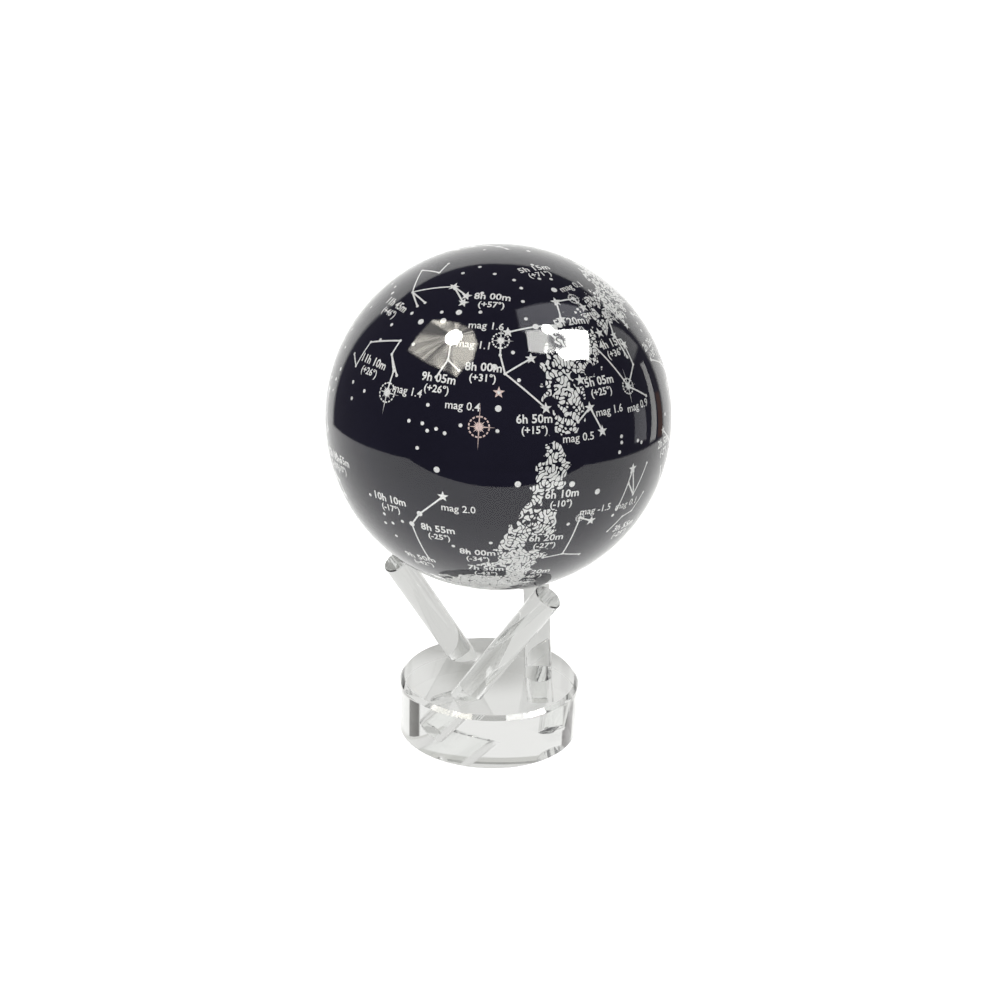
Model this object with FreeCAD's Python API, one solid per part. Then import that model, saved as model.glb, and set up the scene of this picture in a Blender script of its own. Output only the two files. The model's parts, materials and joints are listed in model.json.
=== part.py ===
"""Self-turning celestial globe on a clear stand, in millimetres.

A clear ball rests on three slanted clear rods set in a clear disc. Inside the ball a printed star
globe floats in a thin layer of fluid. Inside the star globe a solar-powered micro motor works,
through a small gear train, against a compass magnet that stays facing north, so the globe turns.

Frame: +Z up, origin at the middle of the stand's underside, the viewer at -Y.
"""
import FreeCAD, Part
import math
import os

V = FreeCAD.Vector
UP = V(0, 0, 1)

# ---- stand -----------------------------------------------------------------------------------
DISC_RADIUS = 31.4
DISC_HEIGHT = 19.5
DISC_TOP_BEVEL = 1.4
DISC_FOOT_BEVEL = 0.2
ROD_COUNT = 3
ROD_RADIUS = 4.76
ROD_BEVEL = 0.35
ROD_FOOT_CIRCLE = 17.3  # radius of the circle on which the rod axes cross the disc's top
ROD_TIP_CIRCLE = 33.2
ROD_TIP_HEIGHT = 62.5
ROD_FIRST_BEARING = 124.8  # degrees from +X to the first rod's foot
ROD_TWIST = 59.0  # degrees that each rod turns about the stand's axis on its way up
SOCKET_DEPTH = 17.0  # along the rod's own axis
SOCKET_CLEARANCE = 0.03

# ---- clear ball ------------------------------------------------------------------------------
BALL_RADIUS = 57.15
BALL_WALL = 2.5
CRADLE_GAP = 0.06
LAP_HEIGHT = 2.0
LAP_THICKNESS = 1.25
LAP_GAP = 0.02
PLUG_RADIUS = 2.5
FLUID_OUTER_GAP = 0.05
FLUID_INNER_GAP = 0.3  # the floating globe turns inside the fluid

# ---- star globe ------------------------------------------------------------------------------
GLOBE_RADIUS = 53.0
GLOBE_WALL = 1.6
RING_HALF_HEIGHT = 6.4
RING_WALL = 1.8
RING_FIT = 0.04
LEDGE_TOP = -3.4
LEDGE_INNER_RADIUS = 45.5
BALLAST_HEIGHT = 20.0

# ---- deck and what stands on it --------------------------------------------------------------
DECK_THICKNESS = 2.0
DECK_RADIUS = 49.3
DECK_TOP = LEDGE_TOP + DECK_THICKNESS
DECK_SCREW_CIRCLE = 47.4
DECK_SCREW_BEARINGS = (30, 150, 270)
CELL_COUNT = 6
CELL_SIZE = (16.0, 24.0, 1.2)  # radial, across, thick
CELL_CIRCLE = 33.0
LINK_SIZE = (1.5, 7.0, 0.15)
LINK_CIRCLE = 27.2
BOARD_SIZE = (14.0, 20.0, 1.0)
BOARD_PLACE = (-13.0, -4.0)
CHIP_SIZE = (5.0, 4.0, 1.3)
CAPACITOR_RADIUS = 2.5
CAPACITOR_HEIGHT = 8.0
MOTOR_RADIUS = 4.0
MOTOR_HEIGHT = 12.0
MOTOR_BOSS_RADIUS = 1.5
CLAMP_WALL = 1.2
CLAMP_HEIGHT = 4.0
CLAMP_REACH = 7.5
CLAMP_EAR_THICKNESS = 1.4
LEAD_RADIUS = 0.4

# ---- gear train ------------------------------------------------------------------------------
GEAR_MODULE = 0.4
PRESSURE_ANGLE = 25.0
ADDENDUM = 0.8  # in modules, stub teeth
DEDENDUM = 1.05
BACKLASH = 0.07  # taken off each tooth's thickness at the pitch circle
PINION_TEETH = 12
WHEEL_TEETH = 60
WHEEL_THICKNESS = 1.2
TRAIN_FOLD = 80.0  # degrees at the idler between the magnet shaft and the motor
IDLER_BEARING = 65.0  # degrees from +X to the idler post
SHAFT_RADIUS = 0.75
SHAFT_RUNNING_GAP = 0.025
IDLER_WHEEL_Z = -6.3
IDLER_PINION_END_Z = -10.2
OUTPUT_WHEEL_Z = -9.4

# ---- compass magnet --------------------------------------------------------------------------
MAGNET_RADIUS = 3.0
MAGNET_LENGTH = 24.0
MAGNET_INNER_END = 5.5
CARRIER_TOP = -11.5
CARRIER_BOTTOM = -18.5
CARRIER_HALF_LENGTH = 27.0
CARRIER_WALL = 1.0
BRIDGE_TOP = -20.5
BRIDGE_THICKNESS = 2.4
BRIDGE_HALF_LENGTH = 40.0
BRIDGE_WIDTH = 10.0
POST_CIRCLE = 36.0
POST_BEARINGS = (90, 270)  # between the cells
POST_RADIUS = 2.6
BUSH_RADIUS = 2.4
BUSH_FLANGE_RADIUS = 3.6
BUSH_FLANGE = 0.8
SCREW_RADIUS = 1.0
SCREW_HEAD_RADIUS = 1.9
SCREW_HEAD_HEIGHT = 1.2
SCREW_FIT = 0.02


def polar(radius, bearing, z=0.0):
    """The point at that radius and bearing, in degrees, from the vertical axis."""
    angle = math.radians(bearing)
    return V(radius * math.cos(angle), radius * math.sin(angle), z)


def cylinder(radius, low, high, at=V(0, 0, 0)):
    """An upright cylinder between two heights."""
    return Part.makeCylinder(radius, high - low, V(at.x, at.y, low), UP)


def box(size, centre, low, bearing=0.0):
    """A box of (radial, across, high) size, standing on a height and turned to a bearing."""
    block = Part.makeBox(*size, V(-size[0] / 2, -size[1] / 2, 0))
    block.rotate(V(0, 0, 0), UP, bearing)
    block.translate(V(centre.x, centre.y, low))
    return block


def sphere_shell(outer, inner):
    """The wall between two spheres about the origin."""
    return Part.makeSphere(outer).cut(Part.makeSphere(inner))


def slab(low, high, half_width=100.0):
    """A big flat block between two heights, to keep or take away a band of a shape."""
    corner = V(-half_width, -half_width, low)
    return Part.makeBox(2 * half_width, 2 * half_width, high - low, corner)


def group(shapes):
    return Part.makeCompound(shapes)


# ---- stand -----------------------------------------------------------------------------------
def rod_ends(index):
    """Where a rod's axis crosses the disc's top, and the middle of its upper end."""
    bearing = ROD_FIRST_BEARING + index * 360.0 / ROD_COUNT
    foot = polar(ROD_FOOT_CIRCLE, bearing, DISC_HEIGHT)
    tip = polar(ROD_TIP_CIRCLE, bearing + ROD_TWIST, ROD_TIP_HEIGHT)
    return foot, tip


def ball_centre_height():
    """The height at which the ball just clears the rods' upper rims, found by halving."""
    foot, tip = rod_ends(0)
    along = (tip - foot).normalize()
    rims = ((ROD_RADIUS - ROD_BEVEL, 0.0), (ROD_RADIUS, -ROD_BEVEL))

    def rim_distance(height):
        distances = []
        for radius, offset in rims:
            to_centre = V(0, 0, height) - (tip + along * offset)
            lengthwise = to_centre.dot(along)
            sideways = math.sqrt(to_centre.Length**2 - lengthwise**2)
            distances.append(math.hypot(lengthwise, sideways - radius))
        return min(distances)

    low, high = ROD_TIP_HEIGHT, ROD_TIP_HEIGHT + 2 * BALL_RADIUS
    while high - low > 1e-6:
        middle = (low + high) / 2
        if rim_distance(middle) < BALL_RADIUS + CRADLE_GAP:
            low = middle
        else:
            high = middle
    return high


def support_rod(index):
    """A clear rod from the bottom of its socket to its tip, bevelled at both ends."""
    foot, tip = rod_ends(index)
    along = (tip - foot).normalize()
    start = foot - along * (SOCKET_DEPTH - SOCKET_CLEARANCE)
    rod = Part.makeCylinder(ROD_RADIUS, (tip - start).Length, start, along)
    rims = [e for e in rod.Edges if isinstance(e.Curve, Part.Circle)]
    return rod.makeChamfer(ROD_BEVEL, rims)


def base_disc():
    """The clear disc: a bevelled top rim, an eased foot and three slanted blind sockets."""
    disc = cylinder(DISC_RADIUS, 0, DISC_HEIGHT)
    for level, bevel in ((DISC_HEIGHT, DISC_TOP_BEVEL), (0.0, DISC_FOOT_BEVEL)):
        circles = [e for e in disc.Edges if isinstance(e.Curve, Part.Circle)]
        rim = [e for e in circles if abs(e.Curve.Center.z - level) < 0.01]
        disc = disc.makeChamfer(bevel, rim)
    for index in range(ROD_COUNT):
        foot, tip = rod_ends(index)
        along = (tip - foot).normalize()
        start = foot - along * SOCKET_DEPTH
        reach = SOCKET_DEPTH + 3 * ROD_RADIUS
        disc = disc.cut(Part.makeCylinder(ROD_RADIUS + SOCKET_CLEARANCE, reach, start, along))
    return disc


# ---- clear ball, about its own centre --------------------------------------------------------
def ball_half(upper):
    """Half of the clear ball. The lower half's inner lip stands in the upper half's recess."""
    inner = BALL_RADIUS - BALL_WALL
    wall = sphere_shell(BALL_RADIUS, inner)
    lip = sphere_shell(inner + LAP_THICKNESS, inner)
    if upper:
        recess = sphere_shell(inner + LAP_THICKNESS + LAP_GAP, inner - 1)
        return wall.common(slab(0, 100)).cut(recess.common(slab(-1, LAP_HEIGHT + LAP_GAP)))
    half = wall.common(slab(-100, 0)).fuse(lip.common(slab(-0.5, LAP_HEIGHT))).removeSplitter()
    return half.cut(cylinder(PLUG_RADIUS, -BALL_RADIUS - 1, -inner + 1))


def fill_plug():
    """The plug that closes the filling hole at the bottom of the ball, flush on both sides."""
    inner = BALL_RADIUS - BALL_WALL
    column = cylinder(PLUG_RADIUS - LAP_GAP, -BALL_RADIUS - 1, -inner + 1)
    return column.common(sphere_shell(BALL_RADIUS, inner))


def carrier_fluid():
    """The layer of fluid in which the star globe floats."""
    outer = BALL_RADIUS - BALL_WALL - FLUID_OUTER_GAP
    return sphere_shell(outer, GLOBE_RADIUS + FLUID_INNER_GAP)


# ---- star globe ------------------------------------------------------------------------------
def globe_half(upper):
    """Half of the printed globe, a plain butt joint at the equator."""
    wall = sphere_shell(GLOBE_RADIUS, GLOBE_RADIUS - GLOBE_WALL)
    return wall.common(slab(0, 100) if upper else slab(-100, 0))


def joining_ring():
    """The ring bonded inside the equator, with the ledge that carries the deck."""
    outer = Part.makeSphere(GLOBE_RADIUS - GLOBE_WALL - RING_FIT)
    band = outer.common(slab(-RING_HALF_HEIGHT, RING_HALF_HEIGHT))
    hollow_radius = GLOBE_RADIUS - GLOBE_WALL - RING_WALL
    ring = band.cut(cylinder(hollow_radius, LEDGE_TOP, RING_HALF_HEIGHT + 1))
    ring = ring.cut(cylinder(LEDGE_INNER_RADIUS, -RING_HALF_HEIGHT - 1, LEDGE_TOP + 1))
    for bearing in DECK_SCREW_BEARINGS:
        at = polar(DECK_SCREW_CIRCLE, bearing)
        ring = ring.cut(cylinder(SCREW_RADIUS, -RING_HALF_HEIGHT - 1, LEDGE_TOP + 1, at))
    return ring


def ballast_weight():
    """A cast cap that fills the bottom of the globe and keeps its axis upright."""
    radius = GLOBE_RADIUS - GLOBE_WALL - RING_FIT
    return Part.makeSphere(radius).common(slab(-radius - 1, -radius + BALLAST_HEIGHT))


def screw(at, seat, length, downwards=True):
    """A pan-head screw: its head on the seat height and its shank running away from it."""
    way = -1 if downwards else 1
    tip = seat + way * length
    head_end = seat - way * SCREW_HEAD_HEIGHT
    shank = cylinder(SCREW_RADIUS - SCREW_FIT, min(seat, tip), max(seat, tip), at)
    head = cylinder(SCREW_HEAD_RADIUS, min(seat, head_end), max(seat, head_end), at)
    slot_low = min(head_end, head_end + way * 0.5)
    slot = box((0.5, 2 * SCREW_HEAD_RADIUS + 1, 0.5), at, slot_low)
    return head.cut(slot).fuse(shank).removeSplitter()


# ---- places of the train ---------------------------------------------------------------------
def centre_distance():
    return GEAR_MODULE * (PINION_TEETH + WHEEL_TEETH) / 2


def idler_place():
    return polar(centre_distance(), IDLER_BEARING)


def motor_place():
    return idler_place() + polar(centre_distance(), IDLER_BEARING + 180 - TRAIN_FOLD)


def post_places():
    return [polar(POST_CIRCLE, bearing) for bearing in POST_BEARINGS]


def clamp_bearings():
    """The two directions of the motor clamp's ears, at right angles to the way to the centre."""
    outwards = math.degrees(math.atan2(motor_place().y, motor_place().x))
    return [outwards - 90, outwards + 90]


def clamp_ears():
    """Where the motor clamp's two screws stand, either side of the motor."""
    return [motor_place() + polar(CLAMP_REACH, bearing) for bearing in clamp_bearings()]


def chassis_deck():
    """The round deck, drilled for its screws, the bearing, the idler post and the motor."""
    low, high = LEDGE_TOP, DECK_TOP
    deck = cylinder(DECK_RADIUS, low, high)
    holes = [(polar(DECK_SCREW_CIRCLE, b), SCREW_RADIUS + 0.1) for b in DECK_SCREW_BEARINGS]
    holes += [(place, SCREW_RADIUS + 0.1) for place in post_places()]
    holes += [(place, SCREW_RADIUS) for place in clamp_ears()]
    holes += [(V(0, 0, 0), BUSH_RADIUS), (idler_place(), SHAFT_RADIUS)]
    holes += [(motor_place(), MOTOR_BOSS_RADIUS + 0.1)]
    for place, radius in holes:
        deck = deck.cut(cylinder(radius, low - 1, high + 1, place))
    return deck


def upper_bearing():
    """The flanged bush pressed into the deck, in which the magnet shaft's top turns."""
    bush = cylinder(BUSH_RADIUS - SCREW_FIT / 2, LEDGE_TOP, DECK_TOP)
    flange = cylinder(BUSH_FLANGE_RADIUS, DECK_TOP, DECK_TOP + BUSH_FLANGE)
    bore = cylinder(SHAFT_RADIUS + SHAFT_RUNNING_GAP, LEDGE_TOP - 1, DECK_TOP + BUSH_FLANGE + 1)
    return bush.fuse(flange).removeSplitter().cut(bore)


def lower_bearing():
    """The jewel cup in the bridge, on which the magnet shaft stands."""
    low = BRIDGE_TOP - BRIDGE_THICKNESS
    high = BRIDGE_TOP + BUSH_FLANGE
    cup = cylinder(BUSH_RADIUS - SCREW_FIT / 2, low, high)
    return cup.cut(cylinder(SHAFT_RADIUS + SHAFT_RUNNING_GAP, low + 0.8, high + 1))


def bearing_bridge():
    """The strap under the magnet that holds the jewel cup."""
    size = (2 * BRIDGE_HALF_LENGTH, BRIDGE_WIDTH, BRIDGE_THICKNESS)
    low = BRIDGE_TOP - BRIDGE_THICKNESS
    strap = box(size, V(0, 0, 0), low, POST_BEARINGS[0])
    uprights = [e for e in strap.Edges if abs(e.Vertexes[0].Z - e.Vertexes[-1].Z) > 1]
    strap = strap.makeFillet(BRIDGE_WIDTH / 2 - 0.1, uprights)
    strap = strap.cut(cylinder(BUSH_RADIUS, low - 1, BRIDGE_TOP + 1))
    for place in post_places():
        strap = strap.cut(cylinder(SCREW_RADIUS + 0.1, low - 1, BRIDGE_TOP + 1, place))
    return strap


def bridge_posts():
    """The two spacer posts between the deck and the bridge, tapped at both ends."""
    posts = []
    for place in post_places():
        post = cylinder(POST_RADIUS, BRIDGE_TOP, LEDGE_TOP, place)
        posts.append(post.cut(cylinder(SCREW_RADIUS, BRIDGE_TOP - 1, LEDGE_TOP + 1, place)))
    return group(posts)


def solar_cells():
    """Six cells lying round the deck, each with eased edges."""
    cells = []
    for index in range(CELL_COUNT):
        bearing = index * 360.0 / CELL_COUNT
        cell = box(CELL_SIZE, polar(CELL_CIRCLE, bearing), DECK_TOP, bearing)
        upper = [e for e in cell.Edges if min(v.Z for v in e.Vertexes) > DECK_TOP + 1]
        cells.append(cell.makeChamfer(0.25, upper))
    return cells


def cell_links():
    """The metal tabs that join neighbouring cells in series; one gap stays open."""
    links = []
    for index in range(CELL_COUNT - 1):
        bearing = (index + 0.5) * 360.0 / CELL_COUNT
        top = DECK_TOP + CELL_SIZE[2]
        links.append(box(LINK_SIZE, polar(LINK_CIRCLE, bearing), top, bearing))
    return links


def drive_board():
    return box(BOARD_SIZE, V(*BOARD_PLACE, 0), DECK_TOP)


def control_chip():
    return box(CHIP_SIZE, V(BOARD_PLACE[0], BOARD_PLACE[1] - 4, 0), DECK_TOP + BOARD_SIZE[2])


def storage_capacitor():
    place = V(BOARD_PLACE[0] - 1, BOARD_PLACE[1] + 5, 0)
    low = DECK_TOP + BOARD_SIZE[2]
    can = cylinder(CAPACITOR_RADIUS, low, low + CAPACITOR_HEIGHT, place)
    rim = [e for e in can.Edges if len(e.Vertexes) == 1 and e.BoundBox.ZMin > low + 1]
    return can.makeFillet(0.5, rim)


def motor_can():
    """The motor's casing, its nose boss passing down through the deck."""
    place = motor_place()
    can = cylinder(MOTOR_RADIUS, DECK_TOP, DECK_TOP + MOTOR_HEIGHT, place)
    rim = [e for e in can.Edges if len(e.Vertexes) == 1 and e.BoundBox.ZMin > DECK_TOP + 1]
    can = can.makeFillet(0.6, rim)
    can = can.fuse(cylinder(MOTOR_BOSS_RADIUS, LEDGE_TOP + 0.3, DECK_TOP, place)).removeSplitter()
    bore = SHAFT_RADIUS + SHAFT_RUNNING_GAP
    return can.cut(cylinder(bore, LEDGE_TOP - 1, DECK_TOP + MOTOR_HEIGHT - 2, place))


def motor_clamp():
    """A ring round the motor's foot with an ear on each side."""
    place = motor_place()
    low, high = DECK_TOP, DECK_TOP + CLAMP_HEIGHT
    ring = cylinder(MOTOR_RADIUS + CLAMP_WALL, low, high, place)
    ear_radius = SCREW_HEAD_RADIUS + 0.3
    plate_size = (CLAMP_REACH, 2 * ear_radius, CLAMP_EAR_THICKNESS)
    for ear, bearing in zip(clamp_ears(), clamp_bearings()):
        plate = box(plate_size, (ear + place) * 0.5, low, bearing)
        ear_end = cylinder(ear_radius, low, low + CLAMP_EAR_THICKNESS, ear)
        ring = ring.fuse(plate).fuse(ear_end)
    ring = ring.removeSplitter().cut(cylinder(MOTOR_RADIUS + 0.02, low - 1, high + 1, place))
    for ear in clamp_ears():
        ring = ring.cut(cylinder(SCREW_RADIUS + 0.1, low - 1, high + 1, ear))
    return ring


def lead(points, radius):
    """A wire along straight runs joined by tangent arcs, as a solid tube."""
    edges = []
    start = points[0]
    for before, corner, after in zip(points, points[1:], points[2:]):
        into = (corner - before).normalize()
        out = (after - corner).normalize()
        half_turn = into.getAngle(out) / 2
        shorter = min((corner - before).Length, (after - corner).Length)
        cut_back = 0.45 * shorter
        bend = cut_back / math.tan(half_turn)
        enter, leave = corner - into * cut_back, corner + out * cut_back
        middle_way = (out - into).normalize()
        centre = corner + middle_way * (bend / math.cos(half_turn))
        middle = centre - middle_way * bend
        edges.append(Part.LineSegment(start, enter).toShape())
        edges.append(Part.Arc(enter, middle, leave).toShape())
        start = leave
    edges.append(Part.LineSegment(start, points[-1]).toShape())
    path = Part.Wire(edges)
    direction = (points[1] - points[0]).normalize()
    section = Part.Wire([Part.makeCircle(radius, points[0], direction)])
    tube = path.makePipeShell([section], True, True)
    expected = math.pi * radius**2 * path.Length
    print(f"lead: {path.Length:.1f} mm, volume {tube.Volume / expected:.3f} of section x length")
    return tube


def motor_leads():
    """The two short leads from the motor's end cap to the board."""
    leads = []
    motor_top = DECK_TOP + MOTOR_HEIGHT
    board_top = DECK_TOP + BOARD_SIZE[2]
    place = motor_place()
    for side in (-1, 1):
        start = place + V(-1.5, 1.5 * side, motor_top)
        end = V(BOARD_PLACE[0] + 4.5, BOARD_PLACE[1] + 2.5 * side, board_top)
        over = end + V(0, 0, motor_top - board_top - 1)
        leads.append(lead([start, start + V(0, 0, 3), over, end], LEAD_RADIUS))
    return group(leads)


# ---- gears -----------------------------------------------------------------------------------
def gear(teeth, low, high, at, tooth_bearing):
    """A spur gear. Each flank is an involute; one tooth points along tooth_bearing."""
    pitch = GEAR_MODULE * teeth / 2
    base = pitch * math.cos(math.radians(PRESSURE_ANGLE))
    tip = pitch + ADDENDUM * GEAR_MODULE
    root = pitch - DEDENDUM * GEAR_MODULE

    def involute(radius):
        angle = math.acos(min(1.0, base / radius))
        return math.tan(angle) - angle

    half_at_pitch = (math.pi * GEAR_MODULE / 2 - BACKLASH) / (2 * pitch)
    steps = 5
    first = max(base, root)
    flank = []
    for step in range(steps + 1):
        radius = first + (tip - first) * step / steps
        flank.append((radius, half_at_pitch + involute(pitch) - involute(radius)))
    if root < base:
        flank.insert(0, (root, flank[0][1]))
    points = []
    for index in range(teeth):
        middle = math.radians(tooth_bearing) + 2 * math.pi * index / teeth
        for radius, half in flank:
            points.append(V(radius * math.cos(middle - half), radius * math.sin(middle - half), 0))
        for radius, half in reversed(flank):
            points.append(V(radius * math.cos(middle + half), radius * math.sin(middle + half), 0))
    outline = Part.makePolygon(points + points[:1])
    blank = Part.Face(outline).extrude(V(0, 0, high - low))
    blank.translate(V(at.x, at.y, low))
    return blank


def motor_pinion():
    """The pinion on the motor shaft, a tooth pointing at the idler."""
    place = motor_place()
    bearing = math.degrees(math.atan2(*reversed((idler_place() - place)[:2])))
    low, high = IDLER_WHEEL_Z - 0.9, LEDGE_TOP - 0.3
    blank = gear(PINION_TEETH, low, high, place, bearing)
    return blank.cut(cylinder(SHAFT_RADIUS, low - 1, high + 1, place))


def motor_shaft():
    place = motor_place()
    top = DECK_TOP + MOTOR_HEIGHT - 2.2
    return cylinder(SHAFT_RADIUS, IDLER_WHEEL_Z - 1.3, top, place)


def idler_gear():
    """The compound idler: a wheel driven by the motor and a pinion that drives the output."""
    place = idler_place()
    to_motor = math.degrees(math.atan2(*reversed((motor_place() - place)[:2])))
    gap = 180.0 / WHEEL_TEETH
    high = IDLER_WHEEL_Z + WHEEL_THICKNESS
    wheel = gear(WHEEL_TEETH, IDLER_WHEEL_Z, high, place, to_motor + gap)
    pinion_bearing = IDLER_BEARING + 180
    pinion = gear(PINION_TEETH, IDLER_PINION_END_Z, IDLER_WHEEL_Z, place, pinion_bearing)
    bore = cylinder(SHAFT_RADIUS + SHAFT_RUNNING_GAP, IDLER_PINION_END_Z - 1, high + 1, place)
    blank = wheel.fuse(pinion).cut(bore)
    return with_windows(blank, place, 5, 4.2, 10.0, IDLER_WHEEL_Z, high)


def with_windows(blank, place, count, inner, outer, low, high):
    """Cuts a wheel's web into spokes, with round holes between hub and rim."""
    circle, radius = (inner + outer) / 2, (outer - inner) / 2
    for index in range(count):
        at = place + polar(circle, 360.0 * index / count)
        blank = blank.cut(cylinder(radius, low - 0.1, high + 0.1, at))
    return blank


def idler_post():
    """The post under the deck on which the idler turns, with a retaining head."""
    place = idler_place()
    pin = cylinder(SHAFT_RADIUS - SCREW_FIT / 2, IDLER_PINION_END_Z - 0.2, DECK_TOP, place)
    low = IDLER_PINION_END_Z - 0.7
    head = cylinder(SHAFT_RADIUS + 0.7, low, IDLER_PINION_END_Z - 0.2, place)
    collar = cylinder(SHAFT_RADIUS + 0.7, IDLER_WHEEL_Z + WHEEL_THICKNESS + 0.2, LEDGE_TOP, place)
    return pin.fuse(head).fuse(collar).removeSplitter()


def output_gear():
    """The wheel on the magnet shaft, in mesh with the idler's pinion."""
    gap = 180.0 / WHEEL_TEETH
    high = OUTPUT_WHEEL_Z + WHEEL_THICKNESS
    wheel = gear(WHEEL_TEETH, OUTPUT_WHEEL_Z, high, V(0, 0, 0), IDLER_BEARING + gap)
    hub = cylinder(2.2, OUTPUT_WHEEL_Z - 1.2, high + 0.8)
    bore = cylinder(SHAFT_RADIUS, OUTPUT_WHEEL_Z - 2, high + 2)
    blank = with_windows(wheel, V(0, 0, 0), 5, 4.2, 10.0, OUTPUT_WHEEL_Z, high)
    return blank.fuse(hub).removeSplitter().cut(bore)


# ---- compass magnet --------------------------------------------------------------------------
def magnet_shaft():
    low = BRIDGE_TOP - BRIDGE_THICKNESS + 0.85
    return cylinder(SHAFT_RADIUS, low, DECK_TOP + BUSH_FLANGE + 0.6)


def magnet_bars():
    """Two bar magnets in line, one each side of the shaft."""
    middle = (CARRIER_TOP + CARRIER_BOTTOM) / 2
    bars = []
    for side in (-1, 1):
        start = V(side * MAGNET_INNER_END, 0, middle)
        bars.append((start, Part.makeCylinder(MAGNET_RADIUS, MAGNET_LENGTH, start, V(side, 0, 0))))
    return bars


def magnet_carrier():
    """The moulded cradle round the two bars, its hub pressed on the shaft."""
    middle = (CARRIER_TOP + CARRIER_BOTTOM) / 2
    start = V(-CARRIER_HALF_LENGTH, 0, middle)
    sleeve_radius = MAGNET_RADIUS + CARRIER_WALL
    body = Part.makeCylinder(sleeve_radius, 2 * CARRIER_HALF_LENGTH, start, V(1, 0, 0))
    body = body.common(slab(CARRIER_BOTTOM, CARRIER_TOP))
    body = body.fuse(cylinder(MAGNET_RADIUS + 1.5, CARRIER_BOTTOM, CARRIER_TOP)).removeSplitter()
    for start, bar in magnet_bars():
        side = 1 if start.x > 0 else -1
        length = MAGNET_LENGTH + 10
        pocket = Part.makeCylinder(MAGNET_RADIUS + 0.02, length, start, V(side, 0, 0))
        body = body.cut(pocket)
    return body.cut(cylinder(SHAFT_RADIUS, CARRIER_BOTTOM - 1, CARRIER_TOP + 1))


# ---- everything, at its place ----------------------------------------------------------------
def stand_nodes():
    return {
        "base_disc": base_disc(),
        "support_rod_left": support_rod(0),
        "support_rod_front": support_rod(1),
        "support_rod_back": support_rod(2),
    }


def ball_nodes():
    """Everything in the ball, modelled about its centre."""
    deck_screws = [screw(polar(DECK_SCREW_CIRCLE, b), DECK_TOP, 4.6) for b in DECK_SCREW_BEARINGS]
    bridge_low = BRIDGE_TOP - BRIDGE_THICKNESS
    post_screws = [screw(place, DECK_TOP, 6.0) for place in post_places()]
    bridge_screws = [screw(place, bridge_low, 7.0, downwards=False) for place in post_places()]
    clamp_screws = [screw(ear, DECK_TOP + CLAMP_EAR_THICKNESS, 3.2) for ear in clamp_ears()]
    nodes = {
        "clear_ball_upper": ball_half(True),
        "clear_ball_lower": ball_half(False),
        "fill_plug": fill_plug(),
        "carrier_fluid": carrier_fluid(),
        "star_globe_north": globe_half(True),
        "star_globe_south": globe_half(False),
        "joining_ring": joining_ring(),
        "ballast_weight": ballast_weight(),
        "chassis_deck": chassis_deck(),
        "deck_screws": group(deck_screws),
        "cell_links": group(cell_links()),
        "drive_board": drive_board(),
        "control_chip": control_chip(),
        "storage_capacitor": storage_capacitor(),
        "motor_can": motor_can(),
        "motor_clamp": motor_clamp(),
        "clamp_screws": group(clamp_screws),
        "motor_leads": motor_leads(),
        "upper_bearing": upper_bearing(),
        "lower_bearing": lower_bearing(),
        "bearing_bridge": bearing_bridge(),
        "bridge_posts": bridge_posts(),
        "post_screws": group(post_screws),
        "bridge_screws": group(bridge_screws),
        "idler_post": idler_post(),
        "motor_shaft": motor_shaft(),
        "motor_pinion": motor_pinion(),
        "idler_gear": idler_gear(),
        "output_gear": output_gear(),
        "magnet_shaft": magnet_shaft(),
        "magnet_carrier": magnet_carrier(),
    }
    for index, cell in enumerate(solar_cells(), start=1):
        nodes[f"solar_cell_{index}"] = cell
    for name, (_, bar) in zip(("magnet_bar_south", "magnet_bar_north"), magnet_bars()):
        nodes[name] = bar
    return nodes


def main():
    os.makedirs("parts", exist_ok=True)
    height = ball_centre_height()
    print(f"ball centre at {height:.3f} mm, motor axis at {motor_place()}")
    nodes = stand_nodes()
    for name, shape in ball_nodes().items():
        shape.translate(V(0, 0, height))
        nodes[name] = shape
    for name, shape in nodes.items():
        if not shape.isValid() or shape.Volume <= 0:
            raise RuntimeError(f"{name} isn't a valid solid")
        shape.exportStep(f"parts/{name}.step")
    print(f"{len(nodes)} nodes written")


main()
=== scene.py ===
# %% [markdown]
# # A star globe that turns by itself
# A navy globe printed with a silver star chart floats inside a clear ball, which rests on three
# slanted clear rods set in a thick clear disc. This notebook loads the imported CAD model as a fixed
# frame, gives every part its finish, and adds the star chart as thin printed geometry.

# %% Load the frame
import json
import math
import bmesh
import bpy
import numpy as np
from mathutils import Matrix, Vector


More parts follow.
